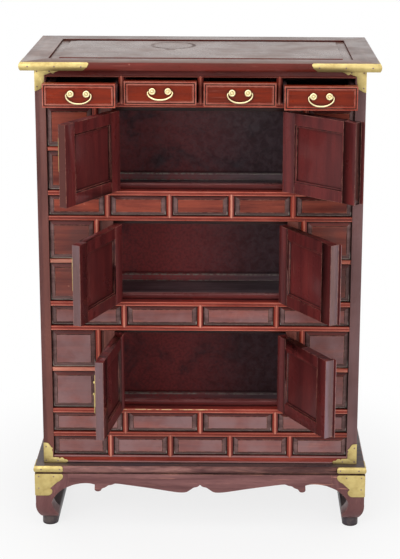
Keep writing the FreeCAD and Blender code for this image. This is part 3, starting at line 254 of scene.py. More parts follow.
def long_direction(points):
    """Direction in which a set of points spreads most."""
    middle = sum(points, Vector()) / len(points)
    spread = Matrix(((0, 0, 0), (0, 0, 0), (0, 0, 0)))
    for point in points:
        d = point - middle
        for i in range(3):
            for j in range(3):
                spread[i][j] += d[i] * d[j]
    way = Vector((0.31, 0.27, 0.41))
    for _ in range(24):
        way = spread @ way
        if way.length == 0:
            return UP
        way.normalize()
    return way


def mark_boards(bm, seed, way=None, order=list):
    """Note for every solid which way its grain runs, and how its board differs."""
    grain = bm.verts.layers.float_vector.new("grain")
    board = bm.verts.layers.float.new("board")
    chance = random.Random(seed)
    for group in order(islands(bm)):
        run = way if way is not None else long_direction([v.co for v in group])
        shade = chance.random()
        for vert in group:
            vert[grain] = run
            vert[board] = shade


def looks(face, way, share=0.9):
    """Whether a face looks along a direction."""
    return face.normal.dot(way) > share


def make_piece(bm, name, node, slot, finishes, soft=None, way=None, seed=None, choose=None,
               smooth=35.0):
    """Turn a mesh into a named piece that stands for a node and rides on the node's body.

    A seed marks its boards, and choose gives the number of a face's finish.
    """
    bm.normal_update()
    for face in bm.faces if choose else ():
        face.material_index = int(choose(face))
    if seed:
        mark_boards(bm, seed, way)
    mesh = mesh_of(bm, name)
    for finish in finishes.split():
        mesh.materials.append(bpy.data.materials[finish])
    piece = link(name, mesh)
    mesh.shade_smooth()
    if soft:
        edges = piece.modifiers.new("soft_edges", "BEVEL")
        edges.width = soft
        edges.segments = 2
        edges.limit_method = "ANGLE"
        edges.angle_limit = math.radians(smooth)
        edges.use_clamp_overlap = True
        edges.harden_normals = True
    else:
        mesh.set_sharp_from_angle(angle=math.radians(smooth))
    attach(piece, frame["nodes"][node]["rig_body"] if node else "case")
    if node:
        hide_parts(node)
    return piece


def dress(node, name, *finish, way=None, seed=None, **settings):
    """Replace a node by a copy with softened edges and marked boards."""
    return make_piece(cad_copy(node), name, node, *finish, way, seed or node, **settings)


# Shapes


def block(bm, low, high):
    """A straight block between two corners."""
    verts = bmesh.ops.create_cube(bm, size=1.0)["verts"]
    bmesh.ops.scale(bm, vec=high - low, verts=verts)
    bmesh.ops.translate(bm, vec=(low + high) / 2, verts=verts)
    return verts


def face_towards(verts, way):
    """The face among some vertices that looks most along a direction."""
    return max(faces_of(verts), key=lambda f: f.normal.dot(way))


def edges_where(verts, test):
    """Edges among some vertices whose two ends both pass a test."""
    chosen = set(verts)
    edges = dict.fromkeys(edge for vert in verts for edge in vert.link_edges)
    return [e for e in edges if all(v in chosen and test(v.co) for v in e.verts)]


def round_over(bm, edges, offset, segments):
    """Round some edges over."""
    return bmesh.ops.bevel(bm, geom=edges, offset=offset, offset_type="OFFSET", segments=segments,
                           profile=0.5, affect="EDGES", material=-1, clamp_overlap=False)


def near(value, other):
    """Whether two lengths are the same."""
    return abs(value - other) < 1e-6


def step_in(bm, face, inward, forward=0.0, way=FRONT):
    """Inset a face and move its middle along a direction, both in millimetres."""
    bmesh.ops.inset_region(bm, faces=[face], thickness=inward * MM, depth=0.0, use_even_offset=True)
    bmesh.ops.translate(bm, vec=way * forward * MM, verts=face.verts)


def close_cut(bm, verts, point, outward):
    """Cut what stands beyond a plane off some vertices' solid, and close it."""
    faces = faces_of(verts)
    edges = dict.fromkeys(edge for face in faces for edge in face.edges)
    cut = bmesh.ops.bisect_plane(bm, geom=[*verts, *edges, *faces], dist=1e-7, plane_co=point,
                                 plane_no=outward, clear_outer=True)["geom_cut"]
    rim = [e for e in cut if isinstance(e, bmesh.types.BMEdge) and e.is_boundary]
    bmesh.ops.holes_fill(bm, edges=rim, sides=0)
    return joined_to([v for v in cut if isinstance(v, bmesh.types.BMVert)][:1])


def bowed_block(bm, low, high, axis, side, bow):
    """A block whose face on one side of an axis swells between its long edges."""
    verts = block(bm, low, high)
    size = high - low
    run = max((i for i in range(3) if i != axis), key=lambda i: size[i])
    across = 3 - axis - run
    face = high[axis] if side > 0 else low[axis]
    corners = [e for e in edges_where(verts, lambda c: near(c[axis], face))
               if near(e.verts[0].co[across], e.verts[1].co[across])]
    share, steps = 0.46, 6
    offset = size[across] * share
    made = round_over(bm, corners, offset, steps)["verts"]
    verts = list(dict.fromkeys(v for v in [*verts, *made] if v.is_valid))
    for vert in verts:
        if abs(vert.co[axis] - face) < offset + 1e-6:
            vert.co[axis] = face + (vert.co[axis] - face) * bow / offset
    return verts


def turned(bm, profile, steps=28):
    """Turn stations of radius and height about the -Y axis into a closed solid."""
    kept = set(bm.verts)
    verts = [bm.verts.new((radius * MM, -rise * MM, 0)) for radius, rise in profile]
    edges = [bm.edges.new(pair) for pair in zip(verts, verts[1:])]
    bmesh.ops.spin(bm, geom=[*verts, *edges], cent=(0, 0, 0), axis=(0, 1, 0), angle=math.tau,
                   steps=steps, use_merge=True, dvec=(0, 0, 0))
    bmesh.ops.remove_doubles(bm, verts=[v for v in bm.verts if v not in kept], dist=1e-7)
    made = [v for v in bm.verts if v not in kept]
    bmesh.ops.recalc_face_normals(bm, faces=faces_of(made))
    return made


def wire_mesh(half, thickness):
    """A round wire through the knots of its left half and their mirror images.

    A knot is x, z, handle in, handle out and a share of the thickness, all in millimetres.
    """
    mirrored = [(-x, z, (-after[0], after[1]), (-before[0], before[1]), thick)
                for x, z, before, after, thick in reversed(half[:-1])]
    knots = [*half, *mirrored]
    curve = bpy.data.curves.new("wire", "CURVE")
    curve.dimensions = "3D"
    curve.bevel_depth = thickness * MM
    curve.bevel_resolution = 3
    curve.resolution_u = 9
    curve.use_fill_caps = True
    line = curve.splines.new("BEZIER")
    line.bezier_points.add(len(knots) - 1)
    for point, (x, z, before, after, thick) in zip(line.bezier_points, knots):
        point.handle_left_type = point.handle_right_type = "FREE"
        point.co = Vector((x, 0, z)) * MM
        point.handle_left = Vector((x + before[0], 0, z + before[1])) * MM
        point.handle_right = Vector((x + after[0], 0, z + after[1])) * MM
        point.radius = thick
    holder = link("wire", curve)
    bpy.context.view_layer.update()
    ready = holder.evaluated_get(bpy.context.evaluated_depsgraph_get())
    mesh = bpy.data.meshes.new_from_object(ready)
    bm = bmesh.new()
    bm.from_mesh(mesh)
    bmesh.ops.remove_doubles(bm, verts=bm.verts, dist=1e-7)
    bmesh.ops.recalc_face_normals(bm, faces=bm.faces)
    bpy.data.objects.remove(holder)
    bpy.data.curves.remove(curve)
    bpy.data.meshes.remove(mesh)
    return bm


def joint_place(name):
    """Where a joint sits, and the axis it turns on."""
    joint = next(j for j in frame["joints"] if j["name"] == name)
    return Vector(joint["pos_m"]), Vector(joint["axis"])


def add_plate(bm, outline, thick, matrix):
    """A plate of an outline, its corners rounded, put in place by a matrix."""
    piece = bmesh.new()
    verts = [piece.verts.new((x * MM, 0, z * MM)) for x, z, _ in outline]
    piece.faces.new(verts)
    for vert, (_, _, soft) in zip(verts, outline):
        if soft:
            bmesh.ops.bevel(piece, geom=[vert], offset=soft * MM, offset_type="OFFSET",
                            segments=3, profile=0.5, affect="VERTICES", material=-1)
    grown = bmesh.ops.extrude_face_region(piece, geom=piece.faces[:])["geom"]
    bmesh.ops.translate(piece, vec=(0, thick, 0),
                        verts=[v for v in grown if isinstance(v, bmesh.types.BMVert)])
    bmesh.ops.transform(piece, matrix=matrix, verts=piece.verts)
    bmesh.ops.recalc_face_normals(piece, faces=piece.faces)
    carrier = mesh_of(piece, "plate")
    bm.from_mesh(carrier)
    bpy.data.meshes.remove(carrier)


def mitred_frame(bm, low, high, member, bow):
    """Four members round a rectangle, bowed on their outer side and cut at 45 degrees."""
    for axis in (1, 0):
        for side in (-1, 1):
            first, second = low.copy(), high.copy()
            if side > 0:
                first[axis] = high[axis] - member
            else:
                second[axis] = low[axis] + member
            verts = bowed_block(bm, first, second, axis, side, bow)
            for end in (-1, 1):
                corner, outward = (low + high) / 2, Vector((0, 0, 0))
                corner[axis] = (high if side > 0 else low)[axis]
                corner[1 - axis] = (high if end > 0 else low)[1 - axis]
                outward[axis], outward[1 - axis] = -side, end
                verts = close_cut(bm, verts, corner, outward.normalized())


# Nodes of the finishes


class Field:
    """What a node puts out, with the sums on it written as sums."""

    def __init__(self, tree, socket):
        self.tree, self.socket = tree, socket

    def feed(self, kind, *others, out=0, **settings):
        """Feed this and other values to the first inputs of a new node."""
        return field(self.tree, kind, dict(enumerate((self, *others))), out, **settings)

    def maths(self, operation, *others):
        """One step of arithmetic."""
        return self.feed("ShaderNodeMath", *others, operation=operation)

    def vector(self, operation, *others, out="Vector"):
        """One step of vector arithmetic."""
        return self.feed("ShaderNodeVectorMath", *others, out=out, operation=operation)

    def __mul__(self, other):
        return self.maths("MULTIPLY", other)

    def __add__(self, other):
        return self.maths("ADD", other)

    def __sub__(self, other):
        return self.maths("SUBTRACT", other)

    def __abs__(self):
        return self.maths("ABSOLUTE")

    def most(self, other):
        """The larger of two values."""
        return self.maths("MAXIMUM", other)

    @property
    def x(self):
        """How far to the right a place lies."""
        return self.feed("ShaderNodeSeparateXYZ", out=0)

    @property
    def z(self):
        """How high a place lies."""
        return self.feed("ShaderNodeSeparateXYZ", out=2)

    def ramp(self, low, high, start=0.0, end=1.0):
        """Map a range of values smoothly on another."""
        return self.feed("ShaderNodeMapRange", low, high, start, end,
                         interpolation_type="SMOOTHSTEP")

    def blend(self, first, second):
        """Mix two colours by this amount."""
        return field(self.tree, "ShaderNodeMix", {0: self, 6: first, 7: second}, 2,
                     data_type="RGBA")

    def noise(self, scale, detail=3.0, rough=0.55, distortion=0.0):
        """Noise at a place."""
        return field(self.tree, "ShaderNodeTexNoise",
                     {"Vector": self, "Scale": scale, "Detail": detail, "Roughness": rough,
                      "Distortion": distortion}, "Fac")

    def bump(self, strength, distance):
        """The normal of a surface that rises with this value."""
        return field(self.tree, "ShaderNodeBump",
                     {"Strength": strength, "Distance": distance, "Height": self})


def place(tree, kind, inputs=None, **settings):
    """Add a node, set it, and feed its inputs with values or with what other nodes put out."""
    node = tree.nodes.new(kind)
    for key, value in settings.items():
        setattr(node, key, value)
    for key, value in (inputs or {}).items():
        if isinstance(value, Field):
            tree.links.new(value.socket, node.inputs[key])
        else:
            node.inputs[key].default_value = value
    return node


def field(tree, kind, inputs=None, out=0, **settings):
    """What a new node puts out."""
    return Field(tree, place(tree, kind, inputs, **settings).outputs[out])


def here(tree):
    """The place on the object."""
    return field(tree, "ShaderNodeTexCoord", out="Object")


def noted(where, name, out="Fac"):
    """What the mesh notes at a place under a name."""
    return field(where.tree, "ShaderNodeAttribute", out=out, attribute_name=name)


def drawn_out(where, share):
    """A place squeezed along the grain, so that a pattern on it is drawn out that way."""
    grain = noted(where, "grain", "Vector")
    squeeze = where.vector("DOT_PRODUCT", grain, out="Value") * -share
    return grain.vector("MULTIPLY_ADD", squeeze, where)


def wood_figure(where, figure_scale, pore_scale, stain_scale):
    """Grain that runs along each board, with its figure, its pores and its stains."""
    board = noted(where, "board")
    moved = board.vector("MULTIPLY_ADD", (0.37, 0.61, 0.83), where)
    drawn = drawn_out(moved, 0.93)
    return {"Figure": drawn.noise(figure_scale, 4.0, 0.6, 0.6).ramp(0.3, 0.7),
            "Pores": drawn.noise(pore_scale, 3.0, 0.7),
            "Stains": moved.noise(stain_scale, 4.0, 0.62).ramp(0.34, 0.7),
            "Tone": board}


def worn_edges(where, width, breakup_scale):
    """Rubbed edges, broken up along their length."""
    rounded = field(where.tree, "ShaderNodeBevel", {"Radius": width}, samples=4)
    true = field(where.tree, "ShaderNodeNewGeometry", out="Normal")
    edge = rounded.vector("DOT_PRODUCT", true, out="Value").ramp(0.995, 0.86)
    return {"Worn": edge * where.noise(breakup_scale, 4.0, 0.65).ramp(0.36, 0.62)}


def settled_dirt(where, reach):
    """Darkening where faces meet, found by occlusion: painted shade, with some dirt."""
    shut = field(where.tree, "ShaderNodeAmbientOcclusion", {"Distance": reach}, "AO", samples=6)
    return {"Dirt": shut.ramp(0.95, 0.35) * where.noise(45.0, 4.0, 0.6).ramp(0.2, 0.6, 0.45, 1.0)}


def specks(where, chip_scale):
    """A few small chips, and thin scratches that follow the grain."""
    cell = field(where.tree, "ShaderNodeTexVoronoi", {"Vector": where, "Scale": chip_scale},
                 "Distance")
    lines = drawn_out(where, 0.96).noise(260.0, 3.0, 0.6).ramp(0.6, 0.72)
    return {"Chips": cell.ramp(0.055, 0.025) * where.noise(5.0, 2.0).ramp(0.5, 0.62),
            "Streaks": lines * where.noise(14.0).ramp(0.5, 0.64)}


# Effects that the finishes share, with the values they are given
EFFECTS = {
    wood_figure: {"Figure scale": 60.0, "Pore scale": 420.0, "Stain scale": 9.0},
    worn_edges: {"Width": 0.0015, "Breakup scale": 70.0},
    settled_dirt: {"Reach": 0.008},
    specks: {"Chip scale": 24.0},
}


def ring_stain(where):
    """The round mark of a pot, with a blot in front of it and two in the far corners."""
    flat = where.vector("MULTIPLY", (1, 1, 0))
    broken = where.noise(30.0).ramp(0.35, 0.6, 0.35, 1.0)
    reach = flat.vector("DISTANCE", (-0.066, 0.05, 0), out="Value")
    spots = abs(reach - 0.047).ramp(0.0062, 0.0022) * broken
    blots = (((-0.07, -0.012, 0), 0.016), ((-0.3, 0.118, 0), 0.02), ((0.3, 0.118, 0), 0.02))
    for middle, radius in blots:
        far = flat.vector("DISTANCE", middle, out="Value")
        spots = spots.most(far.ramp(radius, radius * 0.4) * broken)
    return spots * 0.62


def red_remains(where):
    """Cloudy red that is left on the back boards, most of it low down; more on the left as painted
    light.
    """
    cloud = where.noise(8.0, 5.0, 0.65, 0.8).ramp(0.24, 0.54)
    grit = where.noise(150.0, 3.0, 0.6).ramp(0.36, 0.6, 0.66, 1.0)
    return cloud * grit * where.z.ramp(0.75, 0.7, 0.55, 1.0) * where.x.ramp(0.16, -0.12, 0.1, 0.95)


def sill_streak(where):
    """Bare wood along the crest of the lower sill."""
    along = abs(where.x + 0.07).ramp(0.115, 0.085)
    level = abs(where.z - 0.2782).ramp(0.0034, 0.0018)
    return along * level * where.noise(120.0).ramp(0.4, 0.55)


def ledge_rubs(where):
    """Long pale rubs on the ledge and the aprons."""
    rubs = where.vector("MULTIPLY", (9.0, 60.0, 170.0)).noise(1.0, 3.0, 0.6).ramp(0.58, 0.72)
    return rubs * where.noise(6.0, 2.0).ramp(0.4, 0.6, 0.1, 0.75) * where.z.ramp(0.088, 0.1)


def flank_shade(where):
    """The fields beside the middle doors are darker and greyer."""
    level = abs(where.z - 0.62).ramp(0.1, 0.085)
    return level * abs(where.x).ramp(0.2, 0.24) * where.noise(14.0).ramp(0.3, 0.66, 0.35, 0.75)


def post_rub(where):
    """Red that shows along the inner part of the posts, more of it on the left."""
    inner = abs(where.x).ramp(0.344, 0.338)
    cloud = where.noise(6.0).ramp(0.3, 0.66, 0.35, 1.0)
    return inner * cloud * where.x.ramp(0.1, -0.1, 0.3, 0.95)


def dust_lines(where):
    """Crumbs of pale dust along the top and the foot of the battens, also a painted highlight, more
    on the left.
    """
    lines, *others = (abs(where.z - (level + rise)).ramp(0.002, 0.0008)
                      for level in (0.722, 0.473, 0.168) for rise in (0.0008, 0.0156))
    for line in others:
        lines = lines.most(line)
    crumbs = where.noise(90.0, 4.0, 0.7).ramp(0.4, 0.6, 0.1, 1.0)
    return lines * crumbs * where.x.ramp(0.2, -0.1, 0.45, 1.0)


# Masks of the places that wear or weather in their own way, and of painted shade, highlight and
# sheen
MASKS = {
    "ring_stain": ring_stain, "red_remains": red_remains, "sill_streak": sill_streak,
    "ledge_rubs": ledge_rubs, "flank_shade": flank_shade, "post_rub": post_rub,
    "dust_lines": dust_lines,
    # Painted shade: the free edges of the upper doors are darker, and those of the left doors
    # browner
    "edge_shade": lambda where: where.z.ramp(0.7, 0.8, 0.0, 0.95),
    "left_edges": lambda where: where.x.ramp(-0.05, -0.1, 0.0, 0.66),
    # Dust and a painted grey sheen on the lowest rail, and on the lowest fields
    "low_bloom": lambda where: where.z.ramp(0.2, 0.165, 0.0, 0.7),
    "dusty_rows": lambda where: (where.noise(16.0).ramp(0.3, 0.66, 0.5, 1.0)
                                 * where.z.ramp(0.57, 0.45, 0.0, 0.8)),
    # The legs grow darker towards the floor, and the uppermost rail lies dark under the top
    "foot_shade": lambda where: where.z.ramp(0.11, 0.05, 0.0, 0.65),
    "eave_shade": lambda where: where.z.ramp(1.005, 1.03, 0.0, 0.7),
    # A painted grey sheen on the right hand post
    "post_grey": lambda where: (where.noise(9.0).ramp(0.3, 0.66, 0.5, 1.0)
                                * where.x.ramp(0.1, 0.3, 0.0, 0.6)),
    # Light that gathers in the lower corners of the panels
    "glint_spot": lambda where: noted(where, "glint").ramp(0.72, 0.9, 0.0, 0.9),
}


def build_group(name, make, given):
    """A node group with named values in, and what its maker gives by name out."""
    tree = bpy.data.node_groups.new(name, "ShaderNodeTree")
    for label, value in given.items():
        socket = tree.interface.new_socket(label, in_out="INPUT", socket_type="NodeSocketFloat")
        socket.default_value = value
    values = tree.nodes.new("NodeGroupInput").outputs
    made = make(here(tree), *(Field(tree, values[label]) for label in given))
    for label in made:
        tree.interface.new_socket(label, in_out="OUTPUT", socket_type="NodeSocketFloat")
    result = tree.nodes.new("NodeGroupOutput")
    for label, value in made.items():
        tree.links.new(value.socket, result.inputs[label])


def group(tree, name, values=None):
    """Place a shared effect in a finish, and give by name what it puts out."""
    node = tree.nodes.new("ShaderNodeGroup")
    node.node_tree = bpy.data.node_groups[name]
    for label, value in (values or {}).items():
        node.inputs[label].default_value = value
    return {socket.name: Field(tree, socket) for socket in node.outputs}


def new_finish(name):
    """The empty node tree of a new material."""
    if name in bpy.data.materials:
        raise RuntimeError(f"the finish {name} has the name of another material")
    material = bpy.data.materials.new(name)
    material.use_nodes = True
    material.node_tree.nodes.clear()
    return material.node_tree


def coat_with(tree, inputs):
    """Close a finish with a surface of the given inputs."""
    surface = field(tree, "ShaderNodeBsdfPrincipled", inputs)
    place(tree, "ShaderNodeOutputMaterial", {0: surface})


def tint(name, share=1.0):
    """One of the chest's colours, darkened to a share."""
    return (*(v * share for v in getattr(bpy.context.scene.chest_colours, name)), 1.0)


def build_lacquer(name, warm, deep, wear=0.7, dirty=0.8, gloss=0.3, figure=60.0, stain=0.35,
                  spread=0.3, coat=0.06, shine=0.16, streaks=0.12, chips=0.25, matt=None,
                  **patches):
    """Red lacquer over figured wood, rubbed at its edges; dirt and painted shade darken its
    corners.

    A patch is a mask's name and the colour that shows there, and matt is a mask without gloss.
    """
    tree = new_finish(name)
    wood = group(tree, "wood_figure", {"Figure scale": figure})
    base = wood["Figure"].blend(tint(deep), tint(warm))
    base = (wood["Stains"] * stain).blend(base, tint(deep))
    base = wood["Pores"].ramp(0.5, 0.75, 0.0, 0.45).blend(base, tint(deep, 0.45))
    base = base.vector("MULTIPLY", wood["Tone"] * spread + (1.0 - spread / 2))
    for shape, shade in patches.items():
        base = group(tree, shape)["Mask"].blend(base, tint(shade))
    marks = group(tree, "specks")
    # Occlusion darkens the corners: painted shade, with some dirt
    corner = group(tree, "settled_dirt")["Dirt"]
    rubbed = group(tree, "worn_edges")["Worn"]
    for mask, strength in (marks["Streaks"], streaks), (marks["Chips"], chips), (rubbed, wear):
        base = (mask * strength).blend(base, tint("worn"))
    base = (corner * dirty).blend(base, tint("dirt"))
    rough = corner * 0.3 + (wood["Stains"] * 0.18 + (gloss - 0.06))
    if matt:
        dull = group(tree, matt)["Mask"]
        rough = dull * 0.5 + rough
        coat = dull * -coat + coat
    relief = wood["Figure"] * 0.35 + wood["Pores"]
    coat_with(tree, {"Base Color": base, "Roughness": rough, "Normal": relief.bump(0.22, 0.0005),
                     "Specular IOR Level": shine, "Coat Weight": coat})


def build_brass(name, bright, dull, rough=0.42):
    """Pale brass with a dull bloom and dark seams."""
    tree = new_finish(name)
    bloom = here(tree).noise(55.0, 5.0, 0.65).ramp(0.35, 0.75)
    fine = here(tree).noise(900.0, 3.0, 0.6)
    base = (bloom * 0.5).blend(tint(bright), tint(dull))
    corner = group(tree, "settled_dirt", {"Reach": 0.003})["Dirt"]
    base = (corner * 0.75).blend(base, tint(dull, 0.35))
    coat_with(tree, {"Base Color": base, "Roughness": fine * 0.08 + (bloom * 0.18 + rough),
                     "Metallic": 0.85, "Normal": fine.bump(0.12, 0.0003)})


# Each lacquer and wood: its two colours, and where it departs from the usual
LACQUERS = {
    "front_lacquer": ("front_warm", "front_deep", dict(
        wear=0.3, eave_shade="door_deep", low_bloom="dusty")),
    # The beads' pale pink is a painted highlight as well as rubbed lacquer
    "bead_lacquer": ("bead_warm", "front_warm", dict(
        wear=0.85, dirty=0.55, sill_streak="pale_wear", eave_shade="door_deep",
        low_bloom="dusty")),
    "reed_lacquer": ("reed", "front_deep", dict(wear=0.4, dirty=0.3, eave_shade="door_deep")),
    # The uprights: a painted highlight on the crest and painted shade on the right flank
    "crest_lacquer": ("crest", "front_warm", dict(wear=0.5, dirty=0.4)),
    "lee_lacquer": ("lee", "front_deep", dict(wear=0.5)),
    # Grey painted reflection on the margins, with a painted highlight in their lower corners
    "margin_lacquer": ("margin_warm", "margin_deep", dict(
        wear=0.6, spread=0.4, glint_spot="dust")),
    # Dark painted shade, with some dirt, in grooves and on the upper door stops
    "quirk_lacquer": ("quirk", "dirt", dict(wear=0.5, gloss=0.4)),
    # Painted highlight, with rubbing, on the drawer mouldings
    "drawer_bead_lacquer": ("drawer_bead", "front_warm", dict(wear=0.8, dirty=0.5)),
    # Painted sheen on the doors' edge faces, with painted shade on the upper and the left doors
    "door_edge_lacquer": ("door_edge", "margin_warm", dict(
        wear=1.1, dirty=0.4, left_edges="margin_deep", edge_shade="stile_deep")),
    # Painted shade on the edges of the top
    "top_edge_lacquer": ("top_edge", "front_deep", dict(wear=0.5)),
    # Painted shade on the rails' faces that look up
    "sill_lacquer": ("sill", "door_deep", dict(wear=0.4)),
    # Painted shade on the fronts of the door stops
    "strip_lacquer": ("strip", "door_deep", dict(wear=0.5)),
    # Painted shade on the panels' upper margins
    "eave_lacquer": ("eave", "door_deep", dict(wear=0.6)),
    # Painted highlight on the door beads and the tops of the lower stops
    "door_bead_lacquer": ("door_bead", "door_warm", {}),
    "upright_lacquer": ("front_warm", "front_deep", dict(gloss=0.24)),
    "stile_lacquer": ("stile_warm", "stile_deep", dict(wear=0.6)),
    "field_lacquer": ("field_warm", "field_deep", dict(
        wear=0.8, spread=0.45, flank_shade="margin_deep", dusty_rows="dusty")),
    "drawer_lacquer": ("drawer_warm", "drawer_deep", dict(wear=0.75)),
    "door_lacquer": ("door_warm", "door_deep", dict(wear=0.55)),
    "post_lacquer": ("post_warm", "post_deep", dict(wear=0.5)),
    "post_front_lacquer": ("post_warm", "post_deep", dict(
        wear=0.5, post_rub="post_red", post_grey="dusty")),
    "door_panel_lacquer": ("door_warm", "door_deep", dict(wear=0.5, figure=22.0, stain=0.55)),
    "top_wood": ("top_warm", "top_deep", dict(wear=0.5, gloss=0.34, shine=0.28, coat=0.1)),
    "top_field_wood": ("top_warm", "top_deep", dict(
        wear=0.5, shine=0.28, coat=0.1, matt="ring_stain", ring_stain="dirt")),
    "stand_lacquer": ("stand_warm", "stand_deep", dict(
        wear=0.8, gloss=0.38, streaks=0.3, foot_shade="stand_deep", ledge_rubs="worn")),
    "ledge_lacquer": ("ledge_front", "stand_deep", dict(
        wear=1.2, gloss=0.38, streaks=0.5, ledge_rubs="worn")),
    # Painted shade on the ledge's faces that look up
    "ledge_top_lacquer": ("ledge_top", "inside_deep", {}),
    "runner_wood": ("runner_tint", "inside_deep", dict(wear=0.3, gloss=0.4)),
    "inside_wood": ("inside_warm", "inside_deep", dict(
        wear=0.1, gloss=0.45, coat=0.05, red_remains="inside_red")),
    "back_lacquer": ("back_tint", "post_deep", dict(wear=0.3, gloss=0.45)),
    "batten_wood": ("floor_tint", "inside_warm", dict(
        wear=0.3, dirty=0.6, gloss=0.4, red_remains="inside_red", dust_lines="dust")),
    "floor_wood": ("floor_tint", "inside_warm", dict(wear=0.1, gloss=0.4)),
    "drawer_side_wood": ("post_warm", "inside_deep", dict(wear=0.6, gloss=0.45)),
}


class CHEST_OT_finishes(bpy.types.Operator):
    """Build the lacquers, the woods and the brass"""

    bl_idname = "chest.finishes"
    bl_label = "Finishes"

    def execute(self, context):
        for make, given in EFFECTS.items():
            build_group(make.__name__, make, given)
        for name, shape in MASKS.items():
            build_group(name, lambda where: {"Mask": shape(where)}, {})
        for name, (warm, deep, settings) in LACQUERS.items():
            build_lacquer(name, warm, deep, **settings)
        build_brass("mount_brass", "brass", "brass_deep")
        build_brass("bail_brass", "bail_brass", "brass", rough=0.26)
        build_brass("nail_brass", "door_edge", "dirt", rough=0.45)
        return {"FINISHED"}


class CHEST_OT_lattice(bpy.types.Operator):
    """Beaded rails notched for the bowed uprights that stand between them"""

    bl_idname = "chest.lattice"
    bl_label = "Lattice"

    def execute(self, context):
        reed_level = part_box("front_rails")[0].y + 0.5 * MM

        # Bead fronts take the pale painted highlight, faces that look up the darker painted shade
        # of the sill
        def bead_front_sill_or_reed(face):
            if looks(face, UP):
                return 2
            if not looks(face, FRONT):
                return 1
            return 3 * (looks(face, FRONT, 0.99) and face.calc_center_median().y > reed_level)

        dress("front_rails", "beaded_rails", RED,
              "bead_lacquer front_lacquer sill_lacquer reed_lacquer", 0.45 * MM, way=ALONG,
              seed="rails", choose=bead_front_sill_or_reed, smooth=20)

        bm = bmesh.new()
        tip, bow, lintel_round = 4 * MM, 3.4 * MM, 2.2 * MM
        for low, high in solid_boxes("lattice_uprights"):
            size = high - low
            if size.x > size.z:
                verts = block(bm, low, high)
                round_over(bm, edges_where(verts, lambda c: near(c.y, low.y)), lintel_round, 4)
                continue
            verts = bowed_block(bm, low, high, 1, -1, bow)
            for end in (low, high):
                for side in (-1, 1):
                    point = Vector(((low.x + high.x) / 2, 0, end.z))
                    rise = size.x / 2 if end is high else -size.x / 2
                    outward = Vector((tip * side, 0, rise)).normalized()
                    verts = close_cut(bm, verts, point, outward)

        def in_rows(uprights):
            """From the lowest row up, but a tier's left cross piece follows its first upright."""
            rows = sorted(uprights, key=lambda g: [round(min(v.co[i] for v in g), 3)
                                                   for i in (2, 0)])
            for found, toned in (9, 1), (16, 12), (24, 19):
                rows.insert(toned, rows.pop(found))
            return rows

        mark_boards(bm, "uprights", order=in_rows)

        # The crest takes a painted highlight and the right flank painted shade; the left flank
        # keeps the plain lacquer
        def flank_crest_or_lee(face):
            turned_away = face.normal.x
            return 1 if abs(turned_away) < 0.16 else 2 * (turned_away > 0)

        make_piece(bm, "bowed_uprights", "lattice_uprights", RED,
                   "upright_lacquer crest_lacquer lee_lacquer", 0.3 * MM,
                   choose=flank_crest_or_lee, smooth=45)

        dress("door_jamb_stiles", "jamb_stiles", RED, "stile_lacquer",
              context.scene.chest_sizes.soft_edge)

        # Upper stops take dark painted shade; on the lower ones, faces that look up a painted
        # highlight, the rest painted shade
        bm = cad_copy("door_stops")
        strips = sorted(islands(bm), key=lambda strip: min(v.co.z for v in strip))
        upper = {face for strip in strips[1::2] for face in faces_of(strip)}
        make_piece(bm, "door_stop_strips", "door_stops", RED,
                   "strip_lacquer door_bead_lacquer quirk_lacquer", 1.6 * MM, seed="stops",
                   choose=lambda face: 2 if face in upper else looks(face, UP))
        return {"FINISHED"}


class CHEST_OT_panels(bpy.types.Operator):
    """Fielded panels with sloping margins and a quirk round each field"""

    bl_idname = "chest.panels"
    bl_label = "Fielded panels"

    def execute(self, context):
        bm = bmesh.new()
        glint = bm.verts.layers.float.new("glint")
        brows = set()
        rebate, groove, lip = 5.2 * MM, 1.6, 0.3
        for low, high in solid_boxes("fielded_panels"):
            size = high - low
            tall = size.z > 60 * MM
            side, edge = (10, 10) if tall else (11, 7.5)
            verts = block(bm, low - FRONT * rebate, high)
            face = face_towards(verts, FRONT)
            step_in(bm, face, groove)
            ring = set(faces_of(face.verts)) - {face}
            brows.add(max(ring, key=lambda f: f.calc_center_median().z))
            step_in(bm, face, lip, 1.9)
            middle = face.calc_center_median()
            for vert in face.verts:
                vert[glint] = float(vert.co.z < middle.z)
            step_in(bm, face, edge - groove - lip, 2.6)
            for vert in face.verts:
                vert[glint] = 0.0
            # The margins at the sides are wider than those above and below
            narrower = (size.x - 2 * side * MM) / (size.x - 2 * edge * MM)
            bmesh.ops.scale(bm, vec=(narrower, 1, 1), verts=face.verts,
                            space=Matrix.Translation(-face.calc_center_median()))
            step_in(bm, face, 0.9, -0.7)
            step_in(bm, face, 0.35, 1.35)

        # Side and lower margins take the grey painted reflection, upper ones a dark red painted
        # shade, grooves a dark one
        def field_margin_quirk_or_eave(face):
            slope = -face.normal.y
            if slope <= 0.9:
                return 2
            if slope <= 0.995:
                return 3 if face.normal.z > abs(face.normal.x) else 1
            narrow = face.calc_area() < 1.8 * MM * sum(edge.calc_length() for edge in face.edges)
            return (1 if face in brows else 2) if narrow else 0

        make_piece(bm, "raised_field_panels", "fielded_panels", RED,
                   "field_lacquer margin_lacquer quirk_lacquer eave_lacquer", 0.35 * MM,
                   seed="panels", choose=field_margin_quirk_or_eave, smooth=20)
        return {"FINISHED"}


